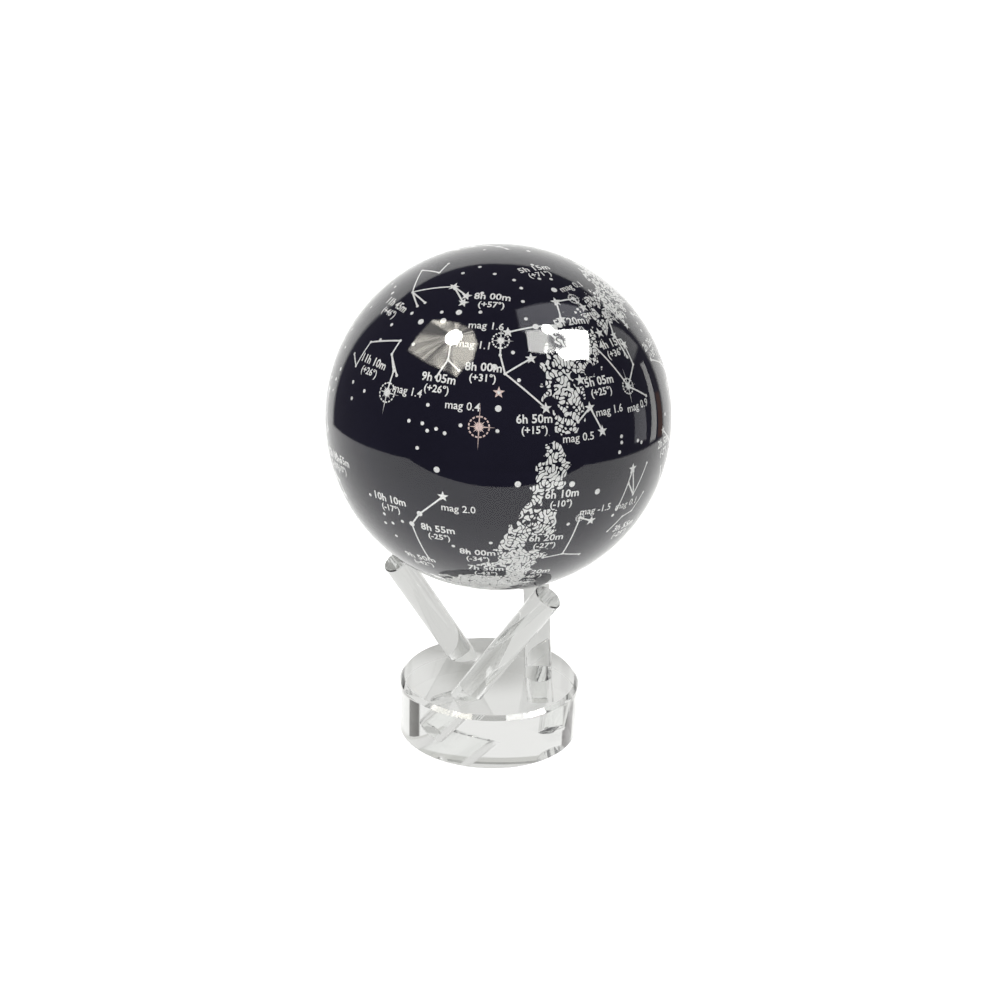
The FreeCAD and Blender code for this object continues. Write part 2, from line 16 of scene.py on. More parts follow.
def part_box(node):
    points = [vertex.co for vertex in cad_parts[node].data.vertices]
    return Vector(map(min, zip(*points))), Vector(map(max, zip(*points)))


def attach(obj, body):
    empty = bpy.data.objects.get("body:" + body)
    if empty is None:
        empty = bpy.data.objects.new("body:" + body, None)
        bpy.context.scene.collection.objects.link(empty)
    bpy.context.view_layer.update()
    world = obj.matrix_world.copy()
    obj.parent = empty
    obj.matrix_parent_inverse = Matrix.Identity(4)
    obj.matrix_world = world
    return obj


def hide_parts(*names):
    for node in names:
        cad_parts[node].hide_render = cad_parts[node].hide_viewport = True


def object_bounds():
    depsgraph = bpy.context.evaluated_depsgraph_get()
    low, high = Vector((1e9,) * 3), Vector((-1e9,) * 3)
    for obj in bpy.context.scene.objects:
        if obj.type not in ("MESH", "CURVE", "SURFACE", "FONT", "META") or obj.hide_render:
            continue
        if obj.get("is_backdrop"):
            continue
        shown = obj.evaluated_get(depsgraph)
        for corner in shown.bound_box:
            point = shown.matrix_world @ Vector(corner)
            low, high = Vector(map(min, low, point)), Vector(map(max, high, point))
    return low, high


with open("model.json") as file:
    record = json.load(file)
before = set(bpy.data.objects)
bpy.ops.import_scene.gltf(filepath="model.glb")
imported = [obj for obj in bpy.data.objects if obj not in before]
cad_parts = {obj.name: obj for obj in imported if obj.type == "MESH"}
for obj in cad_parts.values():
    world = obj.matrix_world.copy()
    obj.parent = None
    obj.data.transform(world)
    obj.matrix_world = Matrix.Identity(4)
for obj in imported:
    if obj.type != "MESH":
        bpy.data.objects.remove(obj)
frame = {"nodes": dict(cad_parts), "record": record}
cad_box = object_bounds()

MM = 0.001
scene = bpy.context.scene

# %% [markdown]
# The three sizes below come from the frame: the ball's centre and radius from the clear halves, and
# the printed globe's radius from its own halves. The camera, the studio and the places of the chart's
# figures are chosen values, which stand where they are first needed.

# %% Driving sizes, read from the frame
ball_low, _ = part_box("clear_ball_lower")
_, ball_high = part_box("clear_ball_upper")
BALL_CENTRE = np.array([0.0, 0.0, (ball_low.z + ball_high.z) / 2])
BALL_RADIUS = (ball_high.z - ball_low.z) / 2
GLOBE_RADIUS = (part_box("star_globe_north")[1].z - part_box("star_globe_south")[0].z) / 2
print(f"ball {BALL_RADIUS / MM:.2f} mm, globe {GLOBE_RADIUS / MM:.2f} mm in radius")

# %% [markdown]
# ## Camera
# A product camera on a tripod, about half a metre away and looking down by some twenty degrees. It
# is tipped by two degrees about its own line of sight, so the object seems to lean a little.

# %% Camera
CAMERA_TARGET = Vector((1.5 * MM, 0.0, 85.2 * MM))
CAMERA_DISTANCE = 0.5
CAMERA_DOWN = math.radians(20.18)
CAMERA_ROLL = math.radians(2.09)
CAMERA_LENS = 53.3


def make_camera():
    """Stands at target + distance (0, -cos down, sin down), looks at target, then rolls."""
    camera = bpy.data.objects.new("camera", bpy.data.cameras.new("camera"))
    scene.collection.objects.link(camera)
    offset = Vector((0.0, -math.cos(CAMERA_DOWN), math.sin(CAMERA_DOWN)))
    camera.location = CAMERA_TARGET + CAMERA_DISTANCE * offset
    aim = (-offset).to_track_quat("-Z", "Y").to_matrix().to_4x4()
    camera.rotation_euler = (aim @ Matrix.Rotation(CAMERA_ROLL, 4, "Z")).to_euler()
    camera.data.lens = CAMERA_LENS
    camera.data.clip_start = 0.01
    scene.camera = camera
    return camera


camera = make_camera()
print("camera at", tuple(round(c, 4) for c in camera.location))

# %% [markdown]
# ## Shader helpers
# Node trees are easier to read as formulas. These helpers add a node, wire what it is given, and
# hand back the output, so that a mask is written the way it would be written on paper.

# %% Shader helpers
def wire(tree, socket, value):
    """Links value to socket if it is a socket, and sets it as the default otherwise."""
    if isinstance(value, bpy.types.NodeSocket):
        tree.links.new(value, socket)
    elif value is not None:
        socket.default_value = value


def add(tree, kind, inputs=(), output=0, **settings):
    """Adds a node, sets its properties and inputs (by place or name), and returns one output."""
    node = tree.nodes.new(kind)
    for name, value in settings.items():
        setattr(node, name, value)
    pairs = inputs.items() if isinstance(inputs, dict) else enumerate(inputs)
    for key, value in pairs:
        wire(tree, node.inputs[key], value)
    return node.outputs[output]


def maths(tree, operation, *values, clamp=False):
    return add(tree, "ShaderNodeMath", values, operation=operation, use_clamp=clamp)


def ramp(tree, value, low, high, to_low=0.0, to_high=1.0, smooth=True):
    """Maps low..high to to_low..to_high, held level outside and eased in between."""
    kind = "SMOOTHSTEP" if smooth else "LINEAR"
    inputs = {"Value": value, 1: low, 2: high, 3: to_low, 4: to_high}
    return add(tree, "ShaderNodeMapRange", inputs, interpolation_type=kind)


def blend(tree, share, first, second):
    """The colour first where share is 0 and second where it is 1."""
    inputs = {0: share, 6: first, 7: second}
    return add(tree, "ShaderNodeMix", inputs, output=2, data_type="RGBA")


def noise(tree, place, scale, detail=2.0, roughness=0.5):
    inputs = {"Vector": place, "Scale": scale, "Detail": detail, "Roughness": roughness}
    return add(tree, "ShaderNodeTexNoise", inputs)


def direction(azimuth, elevation):
    """The unit vector at an azimuth from the viewer's side (+ to the right) and an elevation."""
    az, el = math.radians(azimuth), math.radians(elevation)
    return Vector((math.sin(az) * math.cos(el), -math.cos(az) * math.cos(el), math.sin(el)))


# %% [markdown]
# ## Studio
# A clear ball is a mirror for the whole room, so its look is mostly its surroundings. The object
# stands on a lit table in a small white tent, open above and towards the camera, in a dark room. An
# umbrella and a window show in the ball, and so do a few faint things beyond them. The world shader
# draws that room for mirrored rays. Rays that went through clear plastic meet a pale room with grey
# stripes, a shelf and a few dark things, which is what gives clear plastic its edges. All other rays
# meet an even light.

# %% Shapes in the room
def facing(tree, ray, way):
    """The cosine between the ray and a fixed direction."""
    return add(tree, "ShaderNodeVectorMath", (ray, way), output=1, operation="DOT_PRODUCT")


def patch(tree, ray, corners, edge=0.012):
    """1 inside a convex outline of directions: on the inner side of the plane through each edge."""
    ways = [direction(*corner) for corner in corners]
    middle = sum(ways, Vector()).normalized()
    inside = None
    for way, following in zip(ways, ways[1:] + ways[:1]):
        plane = way.cross(following).normalized()
        plane *= math.copysign(1.0, plane.dot(middle))
        side = ramp(tree, facing(tree, ray, plane), -edge, edge)
        inside = side if inside is None else maths(tree, "MINIMUM", inside, side)
    return inside


def spot(tree, ray, centre, radius, edge=1.0):
    """1 within radius degrees of a direction, with an edge that many degrees wide."""
    outer, inner = math.cos(math.radians(radius + edge)), math.cos(math.radians(radius))
    return ramp(tree, facing(tree, ray, direction(*centre)), outer, inner)


# %% [markdown]
# The umbrella's cloth is pleated, so it is lit in streaks that run out from the lamp at its middle:
# the streaks are a noise of one number, the angle about the lamp.

# %% Umbrella
LAMP_PLACE = (-61, 59)
BRIGHT_PLEATS = (-37, 56)
BRIGHT_SPREAD = (5.0, 9.0)  # degrees: how far they are at their brightest, and how far they fade
BRIGHT_SHARE = 0.85
PLEAT_RATE = 1.9  # streaks per radian about the lamp, roughly
CLOTH_DIM = (2.4, 2.3, 2.1, 1.0)
CLOTH_BRIGHT = (15.0, 14.4, 12.8, 1.0)
UMBRELLA = [(-86, 37), (-64, 39), (-35, 39), (-27, 52), (-30, 62), (-50, 69), (-75, 66), (-98, 54)]


def umbrella(tree, ray):
    """Streaks by angle about the lamp's direction, broken up by a broad noise."""
    lamp = direction(*LAMP_PLACE)
    side = lamp.cross(Vector((0, 0, 1))).normalized()
    angle = maths(tree, "ARCTAN2", facing(tree, ray, side.cross(lamp)), facing(tree, ray, side))
    turn = maths(tree, "MULTIPLY", angle, PLEAT_RATE)
    pleats = add(tree, "ShaderNodeTexNoise", {"W": turn, "Scale": 1.0, "Detail": 1.5},
                 noise_dimensions="1D")
    blotches = noise(tree, ray, 6.0, detail=2.0)
    streaks = ramp(tree, pleats, 0.36, 0.66)
    tone = maths(tree, "MULTIPLY", streaks, ramp(tree, blotches, 0.25, 0.6, 0.4, 1.0))
    bright = spot(tree, ray, BRIGHT_PLEATS, *BRIGHT_SPREAD)
    tone = maths(tree, "MAXIMUM", tone, maths(tree, "MULTIPLY", bright, BRIGHT_SHARE))
    return blend(tree, tone, CLOTH_DIM, CLOTH_BRIGHT)


# %% World
TABLE_REACH = 3.7  # the lit table's radius over the ball's height above it
TABLE_FRONT = 1.95  # the same for its straight front edge
TENT_WALL_SLOPE = 1.02  # height of the tent's back wall over its distance
TENT_WALL_DROP = 0.25  # how fast its top falls away to the sides
TENT_LIGHT = (1.5, 1.5, 1.48, 1.0)
ROOM_DARK = (0.10, 0.095, 0.115, 1.0)
PALE = (1.0, 1.0, 1.0, 1.0)
MATT_LIGHT = (1.45, 1.45, 1.45, 1.0)
FAINT_SCREEN = [(110, 83), (37, 73), (45, 66), (113, 46), (127, 44), (123, 63)]
GREY_SCREEN = [(45, 71), (32, 58), (45, 54), (58, 52), (78, 61)]
WINDOW = [(78, 61), (103, 45), (81, 38), (61, 45), (59, 52)]
WINDOW_HALO = (70, 56)
WINDOW_LAMP = (74, 64)
CEILING_LEAF = [(124, 32), (129, 23), (131, 14), (115, 17), (112, 27)]
SIDE_STRIPES = (
    ([(122, 12), (127, 10), (124, -14), (116, -14)], (2.0, 2.0, 1.95, 1.0)),
    ([(99, 4), (111, 1), (111, -12), (98, -11)], (1.1, 1.1, 1.15, 1.0)),
    ([(127, -1), (133, -3), (135, -15), (127, -14)], (0.30, 0.18, 0.14, 1.0)),
)
THROUGH_PALE = (0.80, 0.80, 0.785, 1.0)
THROUGH_GREY = (0.40, 0.40, 0.39, 1.0)
THROUGH_SHELF = (0.55, 0.55, 0.525, 1.0)  # low at the back
THROUGH_THINGS = (
    ([(125, 33), (139, 33), (139, 24), (125, 24)], (0.045, 0.042, 0.036, 1.0)),
    ([(-110, 22), (-110, 54), (-130, 54), (-130, 22)], (0.13, 0.12, 0.12, 1.0)),
    ([(-58, -22), (-62, 4), (-82, 6), (-80, -24)], (0.33, 0.33, 0.33, 1.0)),
)


def tent(tree, ray):
    """1 on the table below and on the tent's back wall, 0 elsewhere."""
    x, y, z = (add(tree, "ShaderNodeSeparateXYZ", (ray,), output=i) for i in range(3))
    level = add(tree, "ShaderNodeCombineXYZ", (x, y))
    reach = add(tree, "ShaderNodeVectorMath", (level,), output=1, operation="LENGTH")
    depth = maths(tree, "MULTIPLY", z, -1.0)
    round_edge = maths(tree, "SUBTRACT", maths(tree, "MULTIPLY", depth, TABLE_REACH), reach)
    front_edge = maths(tree, "ADD", maths(tree, "MULTIPLY", depth, TABLE_FRONT), y)
    front = ramp(tree, front_edge, -0.01, 0.03)
    table = maths(tree, "MINIMUM", ramp(tree, round_edge, -0.02, 0.06), front)
    side = maths(tree, "ABSOLUTE", x)
    within = ramp(tree, maths(tree, "SUBTRACT", y, side), -0.05, 0.10)
    rise = maths(tree, "MULTIPLY", y, TENT_WALL_SLOPE)
    top = maths(tree, "SUBTRACT", rise, maths(tree, "MULTIPLY", side, TENT_WALL_DROP))
    wall = maths(tree, "MULTIPLY", within, ramp(tree, maths(tree, "SUBTRACT", top, z), -0.03, 0.06))
    return maths(tree, "MAXIMUM", table, wall)


def mirrored_room(tree, ray):
    """Radiance by direction for mirrored rays, painted from the farthest thing to the nearest."""
    light = blend(tree, tent(tree, ray), ROOM_DARK, TENT_LIGHT)
    layers = [
        (patch(tree, ray, FAINT_SCREEN, 0.02), (2.0, 2.0, 2.15, 1.0)),
        (patch(tree, ray, CEILING_LEAF, 0.02), (1.0, 1.0, 1.0, 1.0)),
        (patch(tree, ray, GREY_SCREEN), (14.0, 14.0, 13.6, 1.0)),
        (patch(tree, ray, WINDOW), (46.0, 46.0, 45.0, 1.0)),
        (spot(tree, ray, WINDOW_HALO, 4.0, 3.0), (5.0, 5.0, 5.0, 1.0)),
        (spot(tree, ray, WINDOW_LAMP, 3.0), (50.0, 50.0, 49.0, 1.0)),
        (patch(tree, ray, UMBRELLA, 0.02), umbrella(tree, ray)),
        (spot(tree, ray, LAMP_PLACE, 4.5), (60.0, 60.0, 58.0, 1.0)),
    ]
    layers += [(patch(tree, ray, corners), colour) for corners, colour in SIDE_STRIPES]
    for share, colour in layers:
        light = blend(tree, share, light, colour)
    return light


def pale_room(tree, ray):
    """What shows through clear plastic: pale, with grey stripes and a shelf low down, and dark things."""
    depth, height = (add(tree, "ShaderNodeSeparateXYZ", (ray,), output=i) for i in (1, 2))
    level = maths(tree, "ABSOLUTE", height)
    stripes = ramp(tree, noise(tree, ray, 3.2, detail=2.0), 0.42, 0.56)
    grey = maths(tree, "MULTIPLY", ramp(tree, level, 0.45, 0.12), stripes)
    light = blend(tree, grey, THROUGH_PALE, THROUGH_GREY)
    shelf = maths(tree, "MULTIPLY", ramp(tree, level, 0.40, 0.34), ramp(tree, depth, 0.3, 0.6))
    light = blend(tree, shelf, light, THROUGH_SHELF)
    for corners, colour in THROUGH_THINGS:
        light = blend(tree, patch(tree, ray, corners, 0.02), light, colour)
    return light


def make_world():
    """Even light for the camera and matt things, and the two rooms for mirrored and bent rays."""
    world = bpy.data.worlds.new("studio")
    world.use_nodes = True
    tree = world.node_tree
    tree.nodes.clear()
    ray = add(tree, "ShaderNodeTexCoord")
    path = tree.nodes.new("ShaderNodeLightPath")
    colour = blend(tree, path.outputs["Is Camera Ray"], MATT_LIGHT, PALE)
    colour = blend(tree, path.outputs["Is Glossy Ray"], colour, mirrored_room(tree, ray))
    colour = blend(tree, path.outputs["Is Transmission Ray"], colour, pale_room(tree, ray))
    background = add(tree, "ShaderNodeBackground", {"Color": colour, "Strength": 1.0})
    output = tree.nodes.new("ShaderNodeOutputWorld")
    tree.links.new(background, output.inputs["Surface"])
    scene.world = world


make_world()

# %% [markdown]
# The lamps are soft boxes that light matt things only. They aren't seen in the ball, because the
# room above already holds every light that shows there. One shines up from under the table, for the
# light that a white table throws back. The floor is a plain pale sheet that casts no shadow; seen
# through clear plastic it shows a painted shade instead of being lit, with a round painted shadow at
# the back. Light reaches things behind clear plastic through the shadow rays, so the noisy focused
# light of true caustics is switched off.

# %% Lamps and floor
FLOOR_GAP = 0.1 * MM
CLEAR_BOUNCES = 24  # a ray may be thrown back and forth inside a clear rod many times


def make_lamp(name, azimuth, elevation, distance, size, power):
    """A square soft box at a direction and distance from the ball's centre, facing it."""
    lamp = bpy.data.lights.new(name, "AREA")
    lamp.size, lamp.energy = size, power
    box = bpy.data.objects.new(name, lamp)
    way = direction(azimuth, elevation)
    box.location = Vector(BALL_CENTRE) + distance * way
    box.rotation_euler = way.to_track_quat("Z", "Y").to_euler()
    box.visible_camera = False
    box.visible_glossy = False
    box.visible_transmission = False
    scene.collection.objects.link(box)


# Painted shade on the floor where it is seen through clear plastic: a round painted shadow about a place at
# the back, fading out to a lighter painted shade under the rest of the stand.
SHADE_PLACE = (0.0, 24 * MM, 0.0)
SHADE_REACH = (7 * MM, 29 * MM)
SHADE_TONE = (0.33, 0.33, 0.315, 1.0)
BENT_PAINTED_SHADE = (0.66, 0.66, 0.645, 1.0)


def floor_material():
    """A matt pale sheet; seen through clear plastic it glows in a painted shade, most so in a round painted
    shadow at the back.
    """
    material = bpy.data.materials.new("floor")
    material.use_nodes = True
    tree = material.node_tree
    surface = tree.nodes["Principled BSDF"]
    surface.inputs["Base Color"].default_value = (0.80, 0.80, 0.80, 1.0)
    surface.inputs["Roughness"].default_value = 0.9
    surface.inputs["Specular IOR Level"].default_value = 0.1
    surface.inputs["Emission Color"].default_value = PALE
    surface.inputs["Emission Strength"].default_value = 0.1
    bent = tree.nodes.new("ShaderNodeLightPath").outputs["Is Transmission Ray"]
    place = add(tree, "ShaderNodeTexCoord", output=3)
    away = add(tree, "ShaderNodeVectorMath", (place, SHADE_PLACE), output=1, operation="DISTANCE")
    tone = blend(tree, ramp(tree, away, *SHADE_REACH), SHADE_TONE, BENT_PAINTED_SHADE)
    painted_shade = add(tree, "ShaderNodeEmission", {"Color": tone, "Strength": 1.0})
    mixed = add(tree, "ShaderNodeMixShader", {0: bent, 2: painted_shade})
    tree.links.new(surface.outputs["BSDF"], mixed.node.inputs[1])
    tree.links.new(mixed, tree.nodes["Material Output"].inputs["Surface"])
    return material


def make_floor(reach=40.0):
    """A square sheet a tenth of a millimetre down, so that air lies under the clear disc."""
    mesh = bpy.data.meshes.new("floor")
    corners = [(x * reach, y * reach, -FLOOR_GAP) for x, y in ((-1, -1), (1, -1), (1, 1), (-1, 1))]
    mesh.from_pydata(corners, [], [(0, 1, 2, 3)])
    floor = bpy.data.objects.new("floor", mesh)
    floor.data.materials.append(floor_material())
    floor.visible_glossy = False
    floor.visible_shadow = False
    scene.collection.objects.link(floor)
    floor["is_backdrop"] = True


make_lamp("key_box", -50, 50, 0.9, 0.7, 9.0)
make_lamp("fill_box", 70, 45, 1.0, 0.8, 6.0)
make_lamp("table_glow", 0, -50, 0.9, 0.9, 14.0)
make_floor()
scene.view_settings.view_transform = "Standard"
scene.cycles.caustics_refractive = False
scene.cycles.caustics_reflective = False
for kind in ("max_bounces", "transmission_bounces", "glossy_bounces", "transparent_max_bounces"):
    setattr(scene.cycles, kind, CLEAR_BOUNCES)

# %% [markdown]
# ## Shared effects
# Two effects turn up in many finishes. Polished plastic is never quite clean, so one group gives a
# mask of faint smudges. Moulded and machined parts are slightly uneven, so another gives grain. A
# group puts out plain masks and heights only, and each material decides what to do with them.

# %% Node groups
def new_group(name, inputs, outputs):
    """An empty shader node group with float inputs (name, default) and named float outputs."""
    group = bpy.data.node_groups.new(name, "ShaderNodeTree")
    for label, default in inputs:
        socket = group.interface.new_socket(label, in_out="INPUT", socket_type="NodeSocketFloat")
        socket.default_value = default
    for label in outputs:
        group.interface.new_socket(label, in_out="OUTPUT", socket_type="NodeSocketFloat")
    return group, group.nodes.new("NodeGroupInput"), group.nodes.new("NodeGroupOutput")


def make_smudges():
    """Smudge mask: a broad noise picks patches, and a fine one breaks them up."""
    group, given, result = new_group("smudges", [("Scale", 60.0), ("Cover", 0.55)], ["Mask"])
    place = add(group, "ShaderNodeTexCoord", output=3)
    broad = noise(group, place, given.outputs["Scale"], detail=3.0)
    fine = noise(group, place, maths(group, "MULTIPLY", given.outputs["Scale"], 9.0), detail=2.0)
    patches = ramp(group, broad, given.outputs["Cover"], 0.85)
    mask = maths(group, "MULTIPLY", patches, ramp(group, fine, 0.35, 0.7))
    group.links.new(mask, result.inputs["Mask"])
    return group


def make_grain():
    """Height and tone of a lightly uneven surface: two noises, one four times as fine."""
    group, given, result = new_group("grain", [("Scale", 800.0)], ["Height", "Tone"])
    place = add(group, "ShaderNodeTexCoord", output=3)
    coarse = noise(group, place, given.outputs["Scale"], detail=2.0)
    fine = noise(group, place, maths(group, "MULTIPLY", given.outputs["Scale"], 4.0), detail=1.0)
    height = maths(group, "ADD", coarse, maths(group, "MULTIPLY", fine, 0.4))
    group.links.new(height, result.inputs["Height"])
    group.links.new(ramp(group, coarse, 0.3, 0.7), result.inputs["Tone"])
    return group


SMUDGES = make_smudges()
GRAIN = make_grain()


def place_group(tree, group, **values):
    """Places a group in a material with its own values, and returns the node."""
    node = tree.nodes.new("ShaderNodeGroup")
    node.node_tree = group
    for name, value in values.items():
        wire(tree, node.inputs[name], value)
    return node


def new_material(name, **settings):
    """A material with its Principled shader's plain sockets set by name."""
    material = bpy.data.materials.new(name)
    material.use_nodes = True
    surface = material.node_tree.nodes["Principled BSDF"]
    for label, value in settings.items():
        surface.inputs[label.replace("_", " ")].default_value = value
    return material, material.node_tree, surface


# %% [markdown]
# ## Clear acrylic
# Cast acrylic bends light by 1.49. Its polished faces carry faint smudges that show only as a
# slightly softer shine. Lamps have to reach what is behind it: rays that look for a lamp pass
# straight through a Transparent shader, and all others meet the real glass shader.

# %% Clear materials
ACRYLIC_INDEX = 1.49


def clear_material(name, tint, smudge_roughness, scale):
    """Principled glass with smudged roughness, mixed with a see-through shader for shadow rays."""
    material, tree, surface = new_material(
        name, Base_Color=tint, Transmission_Weight=1.0, IOR=ACRYLIC_INDEX, Metallic=0.0)
    smudges = place_group(tree, SMUDGES, Scale=scale, Cover=0.5)
    rough = ramp(tree, smudges.outputs["Mask"], 0.0, 1.0, 0.0, smudge_roughness, smooth=False)
    wire(tree, surface.inputs["Roughness"], rough)
    output = tree.nodes["Material Output"]
    seen_by_lamps = add(tree, "ShaderNodeLightPath", output=1)
    open_way = add(tree, "ShaderNodeBsdfTransparent", {"Color": (0.97, 0.975, 0.975, 1.0)})
    mixed = add(tree, "ShaderNodeMixShader", {0: seen_by_lamps, 2: open_way})
    tree.links.new(surface.outputs["BSDF"], mixed.node.inputs[1])
    tree.links.new(mixed, output.inputs["Surface"])
    return material


CLEAR_STAND = clear_material("clear_acrylic", (0.985, 0.99, 0.985, 1.0), 0.035, 45.0)
CLEAR_BALL = clear_material("clear_ball", (0.99, 0.99, 0.995, 1.0), 0.02, 30.0)


def finish_node(name, material):
    """Gives a CAD node its material through its object's own slot, and leaves its mesh alone."""
    piece = frame["nodes"][name]
    if not piece.data.materials:
        piece.data.materials.append(material)
    for slot in piece.material_slots:
        slot.link = "OBJECT"
        slot.material = material


for name in ("base_disc", "support_rod_left", "support_rod_front", "support_rod_back"):
    finish_node(name, CLEAR_STAND)

# %% [markdown]
# ## Mesh helpers
# Points come as whole numpy arrays. A surface of revolution needs only a profile and an angle, and
# its first and last rows shrink to single points so that the poles are closed.

# %% Mesh helpers
def make_piece(name, points, faces, material, body, smooth=True):
    """A mesh object from arrays, at the origin, riding on a CAD body."""
    mesh = bpy.data.meshes.new(name)
    mesh.from_pydata(np.asarray(points).tolist(), [], faces)
    mesh.validate()
    mesh.update()
    mesh.polygons.foreach_set("use_smooth", [smooth] * len(mesh.polygons))
    mesh.materials.append(material)
    piece = bpy.data.objects.new(name, mesh)
    scene.collection.objects.link(piece)
    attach(piece, body)
    print(f"{name}: {len(mesh.polygons)} faces")
    return piece


def sphere_mesh(radius, rings, sectors):
    """centre + radius (sin a cos b, sin a sin b, cos a), rows of a from pole to pole."""
    a = np.linspace(0, math.pi, rings + 1)[1:-1, None]
    b = np.linspace(0, 2 * math.pi, sectors, endpoint=False)[None, :]
    rows = np.stack(np.broadcast_arrays(np.sin(a) * np.cos(b), np.sin(a) * np.sin(b), np.cos(a)), -1)
    poles = np.array([[0, 0, 1.0], [0, 0, -1.0]])
    points = BALL_CENTRE + radius * np.concatenate([rows.reshape(-1, 3), poles])
    i, j = np.meshgrid(np.arange(rings - 2), np.arange(sectors), indexing="ij")
    k = (j + 1) % sectors
    quads = np.stack([i * sectors + j, (i + 1) * sectors + j, (i + 1) * sectors + k,
                      i * sectors + k], -1).reshape(-1, 4)
    j = np.arange(sectors)
    k = (j + 1) % sectors
    last, top = (rings - 2) * sectors, (rings - 1) * sectors
    north = np.stack([np.full(sectors, top), j, k], -1)
    south = np.stack([np.full(sectors, top + 1), last + k, last + j], -1)
    return points, quads.tolist() + north.tolist() + south.tolist()


# %% [markdown]
# ## Clear ball
# The real ball is two acrylic halves, bonded with no visible seam, and filled with a fluid that
# bends light almost as acrylic does. Light can't tell the wall from the fluid, so one seamless
# solid stands for the halves, the plug and the fluid. It works as a lens: the globe inside looks as
# wide as the ball itself, and its chart runs right out to the rim.

# %% Clear ball
BALL_RINGS = 144
points, faces = sphere_mesh(BALL_RADIUS, BALL_RINGS, 2 * BALL_RINGS)
ball = make_piece("clear_ball", points, faces, CLEAR_BALL, "ball_case")
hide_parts("clear_ball_upper", "clear_ball_lower", "fill_plug", "carrier_fluid")

# %% [markdown]
# ## Ink and globe
# The globe is moulded, sprayed navy-black and printed in a silver metallic ink. The spray has a
# faint mottle, and the ink is slightly uneven where it went on thin.

# %% Printed materials
def navy_material():
    """Navy-black whose tone drifts with a broad noise; no shine, since fluid wets the surface."""
    material, tree, surface = new_material(
        "navy_spray", Roughness=0.6, Specular_IOR_Level=0.05)
    place = add(tree, "ShaderNodeTexCoord", output=3)
    drift = ramp(tree, noise(tree, place, 25.0, detail=3.0), 0.3, 0.7)
    grain = place_group(tree, GRAIN, Scale=1500.0)
    tone = maths(tree, "ADD", maths(tree, "MULTIPLY", drift, 0.7),
                 maths(tree, "MULTIPLY", grain.outputs["Tone"], 0.3))
    colour = blend(tree, tone, (0.0042, 0.0040, 0.0095, 1.0), (0.0078, 0.0072, 0.0155, 1.0))
    wire(tree, surface.inputs["Base Color"], colour)
    return material


def ink_material(name, thin, full):
    """Metallic ink that varies between its thin and full colour, with a fine grain in its height."""
    material, tree, surface = new_material(name, Metallic=0.1, Specular_IOR_Level=0.3)
    grain = place_group(tree, GRAIN, Scale=2600.0)
    wire(tree, surface.inputs["Base Color"], blend(tree, grain.outputs["Tone"], thin, full))
    rough = ramp(tree, grain.outputs["Tone"], 0.0, 1.0, 0.55, 0.4)
    wire(tree, surface.inputs["Roughness"], rough)
    bump = {"Strength": 0.15, "Distance": 0.00002, "Height": grain.outputs["Height"]}
    wire(tree, surface.inputs["Normal"], add(tree, "ShaderNodeBump", bump))
    return material


NAVY = navy_material()
SILVER_INK = ink_material("silver_ink", (0.70, 0.70, 0.68, 1.0), (0.93, 0.93, 0.91, 1.0))
ROSE_INK = ink_material("rose_ink", (0.62, 0.47, 0.43, 1.0), (0.88, 0.71, 0.66, 1.0))
for name in ("star_globe_north", "star_globe_south"):
    finish_node(name, NAVY)

# %% [markdown]
# ## The chart's own coordinates
# A place on the globe is given as degrees east of the meridian that faces the viewer, and degrees
# north. The sky is drawn as if seen from within, so right ascension grows to the west: that
# meridian is at seven hours forty. Ink stands a few hundredths of a millimetre proud.

# %% Chart coordinates
INK_RADIUS = GLOBE_RADIUS + 0.05 * MM
INK_THICKNESS = 0.03 * MM
FACING_HOUR = 7.65


def unit(east, north):
    """(cos n sin e, -cos n cos e, sin n) for arrays of degrees."""
    e, n = np.radians(east), np.radians(north)
    return np.stack([np.cos(n) * np.sin(e), -np.cos(n) * np.cos(e), np.sin(n)], -1)


def sky(hour, declination):
    """Chart degrees of a right ascension in hours and a declination."""
    return ((FACING_HOUR - hour) * 15.0 + 180.0) % 360.0 - 180.0, declination


def east_and_north(way):
    """The unit vectors to the east and north on the sphere at unit vectors way."""
    east = np.stack([-way[..., 1], way[..., 0], np.zeros(way.shape[:-1])], -1)
    east /= np.linalg.norm(east, axis=-1, keepdims=True)
    return east, np.cross(way, east)


def on_globe(way, across, up):
    """Points at (across, up) metres from way in its tangent plane, pressed onto the ink's sphere."""
    east, north = east_and_north(way)
    flat = way + (across[..., None] * east + up[..., None] * north) / INK_RADIUS
    return BALL_CENTRE + INK_RADIUS * flat / np.linalg.norm(flat, axis=-1, keepdims=True)


class Print:
    """One printed layer: flat shapes gathered as arrays, then made into one thin piece."""

    def __init__(self):
        self.points, self.faces, self.count = [], [], 0

    def put(self, points, faces):
        """Adds an (n, 3) array of points and faces that count from its first point."""
        self.points.append(points)
        self.faces.append(np.asarray(faces) + self.count)
        self.count += len(points)

    def make(self, name, material):
        """Turns each face outwards, joins shared corners and gives the film its thickness."""
        faces = [face for block in self.faces for face in block.tolist()]
        points = np.concatenate(self.points)
        piece = make_piece(name, points, faces, material, "star_globe", False)
        tidy = bmesh.new()
        tidy.from_mesh(piece.data)
        bmesh.ops.remove_doubles(tidy, verts=tidy.verts, dist=1e-7)
        centre = Vector(BALL_CENTRE)
        inward = [f for f in tidy.faces if f.normal.dot(f.calc_center_median() - centre) < 0]
        bmesh.ops.reverse_faces(tidy, faces=inward)
        tidy.to_mesh(piece.data)
        tidy.free()
        film = piece.modifiers.new("film", "SOLIDIFY")
        film.thickness, film.offset, film.use_even_offset = INK_THICKNESS, 1.0, False
        return piece


